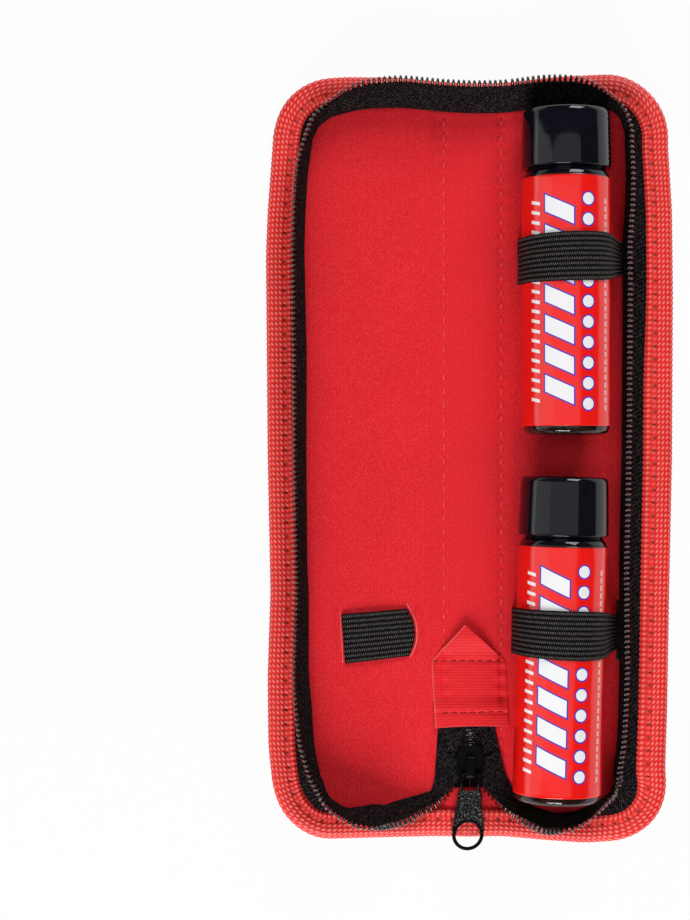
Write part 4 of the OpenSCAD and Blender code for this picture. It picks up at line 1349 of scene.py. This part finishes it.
wing = slider_plate("slider_wing", low_z=1.7, high_z=2.1, trim=0.15)
deck = slider_plate("slider_deck", low_z=4.3, high_z=5.0, trim=0)
flange_plan, flange_z = [(3.4, -88), (3.35, -85), (2.95, -82)], 3.75
flanges = [
    strand(f"slider_flange_{label}", [(hand * x, y, flange_z) for x, y in flange_plan],
           0.4, 0.75, slider_enamel, square=0.4)
    for hand, label in side_of.items()
]
post = strand("slider_post", [(0, -89.4, z) for z in (1.9, 3.2, 4.5)], 0.8, 1.0, slider_enamel)
crown_side = [
    (-90.55, 4.8), (-90.4, 6.0), (-89.7, 6.58), (-88, 6.64), (-86, 6.4), (-84.6, 5.9), (-84.1, 4.8),
]
crown_path = spline([(0, y, z) for y, z in crown_side], 40)
crown = strand("slider_crown", crown_path, 1.2, 0.26, slider_enamel, rounds=16, square=0.5)
for piece in (wing, deck, *flanges, post, crown):
    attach(piece, "slider")
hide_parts("slider_body")
print("slider", round(slider_high - slider_low, 1), "mm long")

# %% [markdown]
# The pull is cast too: a bar that hangs in the crown, two short arms, a plate with a raised rim
# and a dented face, and a round ring for a finger or a cord. Each part is a strand or a small
# grid, and all of them turn together about the bar.

# %% Pull
pull_enamel = enamel("pull_enamel", dents=1.3, shine=0.4)
tab_low, tab_high = box_mm("pull_tab")
pull_z = (tab_low.z + tab_high.z) / 2
bar_r, ring_r, ring_edge = 0.5, 3.97, 4.3
bar_y, ring_y, plate_y = tab_high.y - bar_r, tab_low.y + ring_edge, -94.0
pull_lean = 0.045


def hung(x, y):
    """The pull hangs slightly askew, as it has play on its bar."""
    return x + pull_lean * (y - bar_y)


def plate_place(along, across):
    turn = np.pi * (1 - along)
    top_x, top_y = 3.35 * (2 * along - 1), plate_y - 0.25 * (2 * along - 1) ** 4
    low_x, low_y = 4.15 * np.cos(turn), ring_y + 3.75 * np.sin(turn)
    y = top_y + (low_y - top_y) * across
    x = hung(top_x + (low_x - top_x) * across, y)
    beside = np.minimum(along, 1 - along) * 7
    rim = np.maximum(hump(beside, 0.35, 0.4), hump(across, 0.03, 0.05))
    z = pull_z + 0.32 + 0.2 * rim - 0.5 * hump(beside, 0, 0.18)
    return np.stack([x, y, z], axis=1), {}


plate = cloth("pull_plate", (8, 12), (44, 44), plate_place, pull_enamel, thick=0.85, flip=True)
around = np.linspace(0, 2 * math.pi, 65)
ring_rise = ring_y + ring_r * np.sin(around)
ring_x = hung(ring_r * np.cos(around), ring_rise)
ring_path = np.column_stack([ring_x, ring_rise, np.full_like(around, pull_z)])
ring = strand("pull_ring", ring_path, 0.36, 0.52, slider_enamel, side=(0, 0, 1), rounds=12)
arm_plan = [(2.3, bar_y), (2.35, -91.5), (2.5, -94.6)]
arms = [
    strand(f"pull_arm_{label}", [(hung(hand * x, y), y, pull_z) for x, y in arm_plan],
           0.6, 0.5, slider_enamel, rounds=12)
    for hand, label in side_of.items()
]
bar_path = [(x, bar_y, pull_z) for x in (-2.9, 0, 2.9)]
bar = strand("pull_bar", bar_path, bar_r, bar_r, slider_enamel, side=(0, 0, 1), rounds=12, square=1)
for piece in (plate, ring, *arms, bar):
    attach(piece, "pull")
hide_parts("pull_tab")
print("pull hangs from y", round(bar_y, 2))

# %% [markdown]
# The bottles are small glass vials. A shrunk red sleeve covers the glass all but its heel, a black
# seal closes the neck, and a glossy cap is screwed on. All of them are turned shapes, so each is a
# profile spun round the bottle's axis. The two bottles are alike, and the lower one lies slightly
# askew, so one loop turns each bottle at its own place and tilt.

# %% Turned shapes
bottle_l = box_mm("upper_cap")[1].y - box_mm("upper_glass")[0].y


def bottle_middle(which):
    """Middle of a bottle in plan, from its glass and its cap."""
    low, high = box_mm(f"{which}_glass")
    cap_low, cap_high = box_mm(f"{which}_cap")
    return Vector((min(low.x, cap_low.x) + max(high.x, cap_high.x), low.y + cap_high.y)) / 2


lower_play, lower_turn = Vector((-0.3, 0)), -0.004
seam_turn = 3.1
bottle_spots = {
    "upper": (bottle_middle("upper"), 0.0),
    "lower": (bottle_middle("lower") + lower_play, lower_tilt + lower_turn),
}


def lathe(name, profile, finish, spot, tilt, steps=112):
    """A profile of (height, radius) spun round an axis along Y, with a wrapped UV map in millimetres."""
    bm = bmesh.new()
    uv = bm.loops.layers.uv.new("flat")
    chain_ = [bm.verts.new((0, height, -radius)) for height, radius in profile]
    edges = [bm.edges.new(pair) for pair in zip(chain_, chain_[1:])]
    bmesh.ops.spin(
        bm, geom=chain_ + edges, cent=(0, 0, 0), axis=(0, 1, 0), angle=2 * math.pi, steps=steps,
        use_merge=True,
    )
    bmesh.ops.remove_doubles(bm, verts=bm.verts, dist=0.0005)
    bmesh.ops.recalc_face_normals(bm, faces=bm.faces)
    for face in bm.faces:
        middle = face.calc_center_median()
        for loop_ in face.loops:
            at = loop_.vert.co
            turn = math.atan2(at.x, at.z)
            if abs(turn) > seam_turn:
                turn = math.copysign(turn, middle.x)
            loop_[uv].uv = (turn * bottle_r, at.y)
    moved = Matrix.Translation((*spot, bottle_z)) @ Matrix.Rotation(tilt, 4, "Z")
    place = Matrix.Scale(MM, 4) @ moved @ Matrix.Translation((0, -bottle_l / 2, 0))
    bmesh.ops.transform(bm, matrix=place, verts=bm.verts)
    return solid_piece(bm, name, finish)


def eased(points, ease=0.35):
    """A profile with its points joined by straight runs and small round corners."""
    line = np.array(points, float)
    fine = [line[0]]
    for before, at, after in zip(line, line[1:], line[2:]):
        ways = before - at, after - at
        near, far = (at + way * min(0.5, ease / max(np.linalg.norm(way), 1e-6)) for way in ways)
        for share in np.linspace(0, 1, 5):
            fine.append((1 - share) ** 2 * near + 2 * share * (1 - share) * at + share**2 * far)
    return [*fine, line[-1]]


print("bottle", round(bottle_l, 1), "mm long, radius", round(bottle_r, 2))

# %% [markdown]
# The sleeve is printed with a made-up pattern: a row of slanting white bars with blue outlines,
# a row of small discs, two rows of dashes and a dark notched band at its upper end. All of it is
# drawn in the shader from the wrapped UV map, with helpers that give the distance inside a row of
# bars or of discs.

# %% Print helpers
def within(tree, v, pitch, first, last):
    """Distance inside the stretch that a counted row of shapes takes up."""
    middle, half = pitch * (first + last) / 2, pitch * (last - first) / 2
    return calc(tree, "SUBTRACT", half, calc(tree, "ABSOLUTE", calc(tree, "SUBTRACT", v, middle)))


def bars(tree, u, v, centre, half_wide, pitch, half_long, slant, first, last):
    """Distance inside a row of slanted bars along V: positive inside, in millimetres."""
    from_line = calc(tree, "SUBTRACT", u, centre)
    leaned = calc(tree, "ADD", v, calc(tree, "MULTIPLY", from_line, slant))
    turn = calc(tree, "FRACT", calc(tree, "DIVIDE", leaned, pitch))
    from_bar = calc(tree, "MULTIPLY", calc(tree, "ABSOLUTE", calc(tree, "SUBTRACT", turn, 0.5)), pitch)
    inside_v = calc(tree, "SUBTRACT", half_long, from_bar)
    inside_u = calc(tree, "SUBTRACT", half_wide, calc(tree, "ABSOLUTE", from_line))
    inside = calc(tree, "MINIMUM", inside_u, inside_v)
    return calc(tree, "MINIMUM", inside, within(tree, leaned, pitch, first, last))


def discs(tree, u, v, centre, pitch, radius, first, last):
    """Distance inside a row of discs along V."""
    from_line = calc(tree, "SUBTRACT", u, centre)
    turn = calc(tree, "FRACT", calc(tree, "DIVIDE", v, pitch))
    from_disc = calc(tree, "MULTIPLY", calc(tree, "SUBTRACT", turn, 0.5), pitch)
    across, along = (calc(tree, "POWER", calc(tree, "ABSOLUTE", way), 2.0) for way in (from_line, from_disc))
    inside = calc(tree, "SUBTRACT", radius, calc(tree, "SQRT", calc(tree, "ADD", across, along)))
    return calc(tree, "MINIMUM", inside, within(tree, v, pitch, first, last))


def inked(tree, inside, ground, ink, edge_w=0.06):
    """Ink laid over a ground where the distance is positive."""
    cover = add(tree, "ShaderNodeMapRange", {"Value": inside, "From Min": -edge_w, "From Max": edge_w})
    return mixed(tree, cover.outputs[0], ground, ink)


print("print helpers ready")

# %% Bottle finishes
def sleeve_print():
    made, tree = finish_of("sleeve_print", Roughness=0.17, Specular_IOR_Level=0.65)
    u, v = flat_uv(tree)
    white, blue, rose = paint(250, 250, 252), paint(44, 40, 190), paint(250, 190, 186)
    big = bars(tree, u, v, centre=-3.2, half_wide=4.0, pitch=8.2, half_long=2.3, slant=0.45,
               first=1, last=8)
    small = discs(tree, u, v, centre=5.0, pitch=5.6, radius=1.65, first=1, last=12)
    left = bars(tree, u, v, centre=-10.4, half_wide=1.5, pitch=2.7, half_long=0.45, slant=0.2,
                first=3, last=24)
    right = bars(tree, u, v, centre=11.6, half_wide=0.45, pitch=2.1, half_long=0.7, slant=0.0,
                 first=3, last=31)
    colour = paint(250, 24, 18)
    for shape, outline in ((big, 0.42), (small, 0.38)):
        colour = inked(tree, calc(tree, "ADD", shape, outline), colour, blue)
        colour = inked(tree, shape, colour, white)
    for dashes, ink in ((left, white), (right, rose)):
        colour = inked(tree, dashes, colour, ink)
    band_low = 70.9
    notches = effect(tree, yarn_rows, Across=u, Pitch=0.9)
    band = ramp(tree, notches, (0.35, paint(22, 9, 11)), (0.65, paint(120, 36, 34)))
    colour = inked(tree, calc(tree, "SUBTRACT", v, band_low), colour, band)
    swell = noise(tree, place_mm(tree), 0.09, 1.0)
    wire(tree, Base_Color=colour, Normal=relief(tree, swell, 0.5))
    return made


def cap_gloss():
    made, tree = finish_of("cap_gloss", Specular_IOR_Level=0.38)
    fuzz = noise(tree, place_mm(tree), 0.5, 2.0)
    colour = ramp(tree, fuzz, (0.3, paint(9, 10, 17)), (0.7, paint(15, 16, 26)))
    wire(tree, Base_Color=colour, Roughness=ranged(tree, fuzz, 0.05, 0.1))
    return made


def vial_glass():
    made, tree = finish_of("vial_glass", Roughness=0.02, IOR=1.5, Transmission_Weight=0.97)
    wave = noise(tree, place_mm(tree), 0.4, 1.0)
    tint = ramp(tree, wave, (0.3, paint(112, 84, 70)), (0.7, paint(186, 166, 154)))
    wire(tree, Base_Color=tint, Normal=relief(tree, wave, 0.06))
    return made


sleeve_finish, cap_finish, glass_finish = sleeve_print(), cap_gloss(), vial_glass()
print("bottle finishes", sleeve_finish.name, cap_finish.name, glass_finish.name)

# %% Bottles
# Each profile is a list of heights above the foot and radii.
glass_line = [
    (0.9, 0), (0.7, 6.0), (0.05, 9.0), (0, 9.9), (0.35, 11.1), (1.1, 11.75), (2.2, 11.95), (70, 11.95),
    (72, 11.0), (73.6, 8.2), (75, 8.0), (87.5, 8.0), (87.6, 0),
]
sleeve_line = [
    (2.45, 12.02), (2.4, 12.3), (2.8, 12.38), (70.6, 12.38), (71.2, 12.3), (71.3, 12.05),
    (70.4, 12.02), (2.45, 12.02),
]
seal_line = [
    (70.9, 8.2), (70.9, 11.9), (71.4, 12.0), (72.4, 11.6), (73.2, 11.0), (74.0, 10.8),
    (74.0, 8.2), (70.9, 8.2),
]
cap_line = [
    (73.9, 8.3), (73.9, 12.3), (74.3, 12.5), (82, 12.35), (89.0, 12.1), (89.9, 11.7),
    (90.3, 10.6), (90.3, 0),
]
kinds = {
    "glass": (glass_line, glass_finish),
    "sleeve": (sleeve_line, sleeve_finish),
    "seal": (seal_line, cap_finish),
    "cap": (cap_line, cap_finish),
}
for which, (spot, tilt) in bottle_spots.items():
    for kind, (line, finish) in kinds.items():
        made = lathe(f"{which}_{kind}_turned", eased(line), finish, spot, tilt)
        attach(made, f"{which}_bottle")
        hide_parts(f"{which}_{kind}")
print("bottles", list(bottle_spots))

# %% [markdown]
# The boards that stiffen the panels keep their solids, as they are plain cut sheets. They are of
# grey recycled board, mottled by its fibres.

# %% Boards
def greyboard():
    made, tree = finish_of("greyboard", Roughness=0.9, Specular_IOR_Level=0.2)
    fibres = noise(tree, place_mm(tree), 1.2, 5.0)
    shades = (0.3, paint(96, 92, 86)), (0.55, paint(136, 130, 122)), (0.8, paint(176, 170, 160))
    wire(tree, Base_Color=ramp(tree, fibres, *shades), Normal=relief(tree, fibres, 0.08))
    return made


board_finish = greyboard()
for node in ("board_right", "board_left"):
    board = bpy.data.objects[node]
    board.data.materials.clear()
    board.data.materials.append(board_finish)
print("boards dressed")

# %% [markdown]
# The dressed case may stand a little proud of its solids, as cloth does, and no more.

# %% Finish
print("the case is dressed")
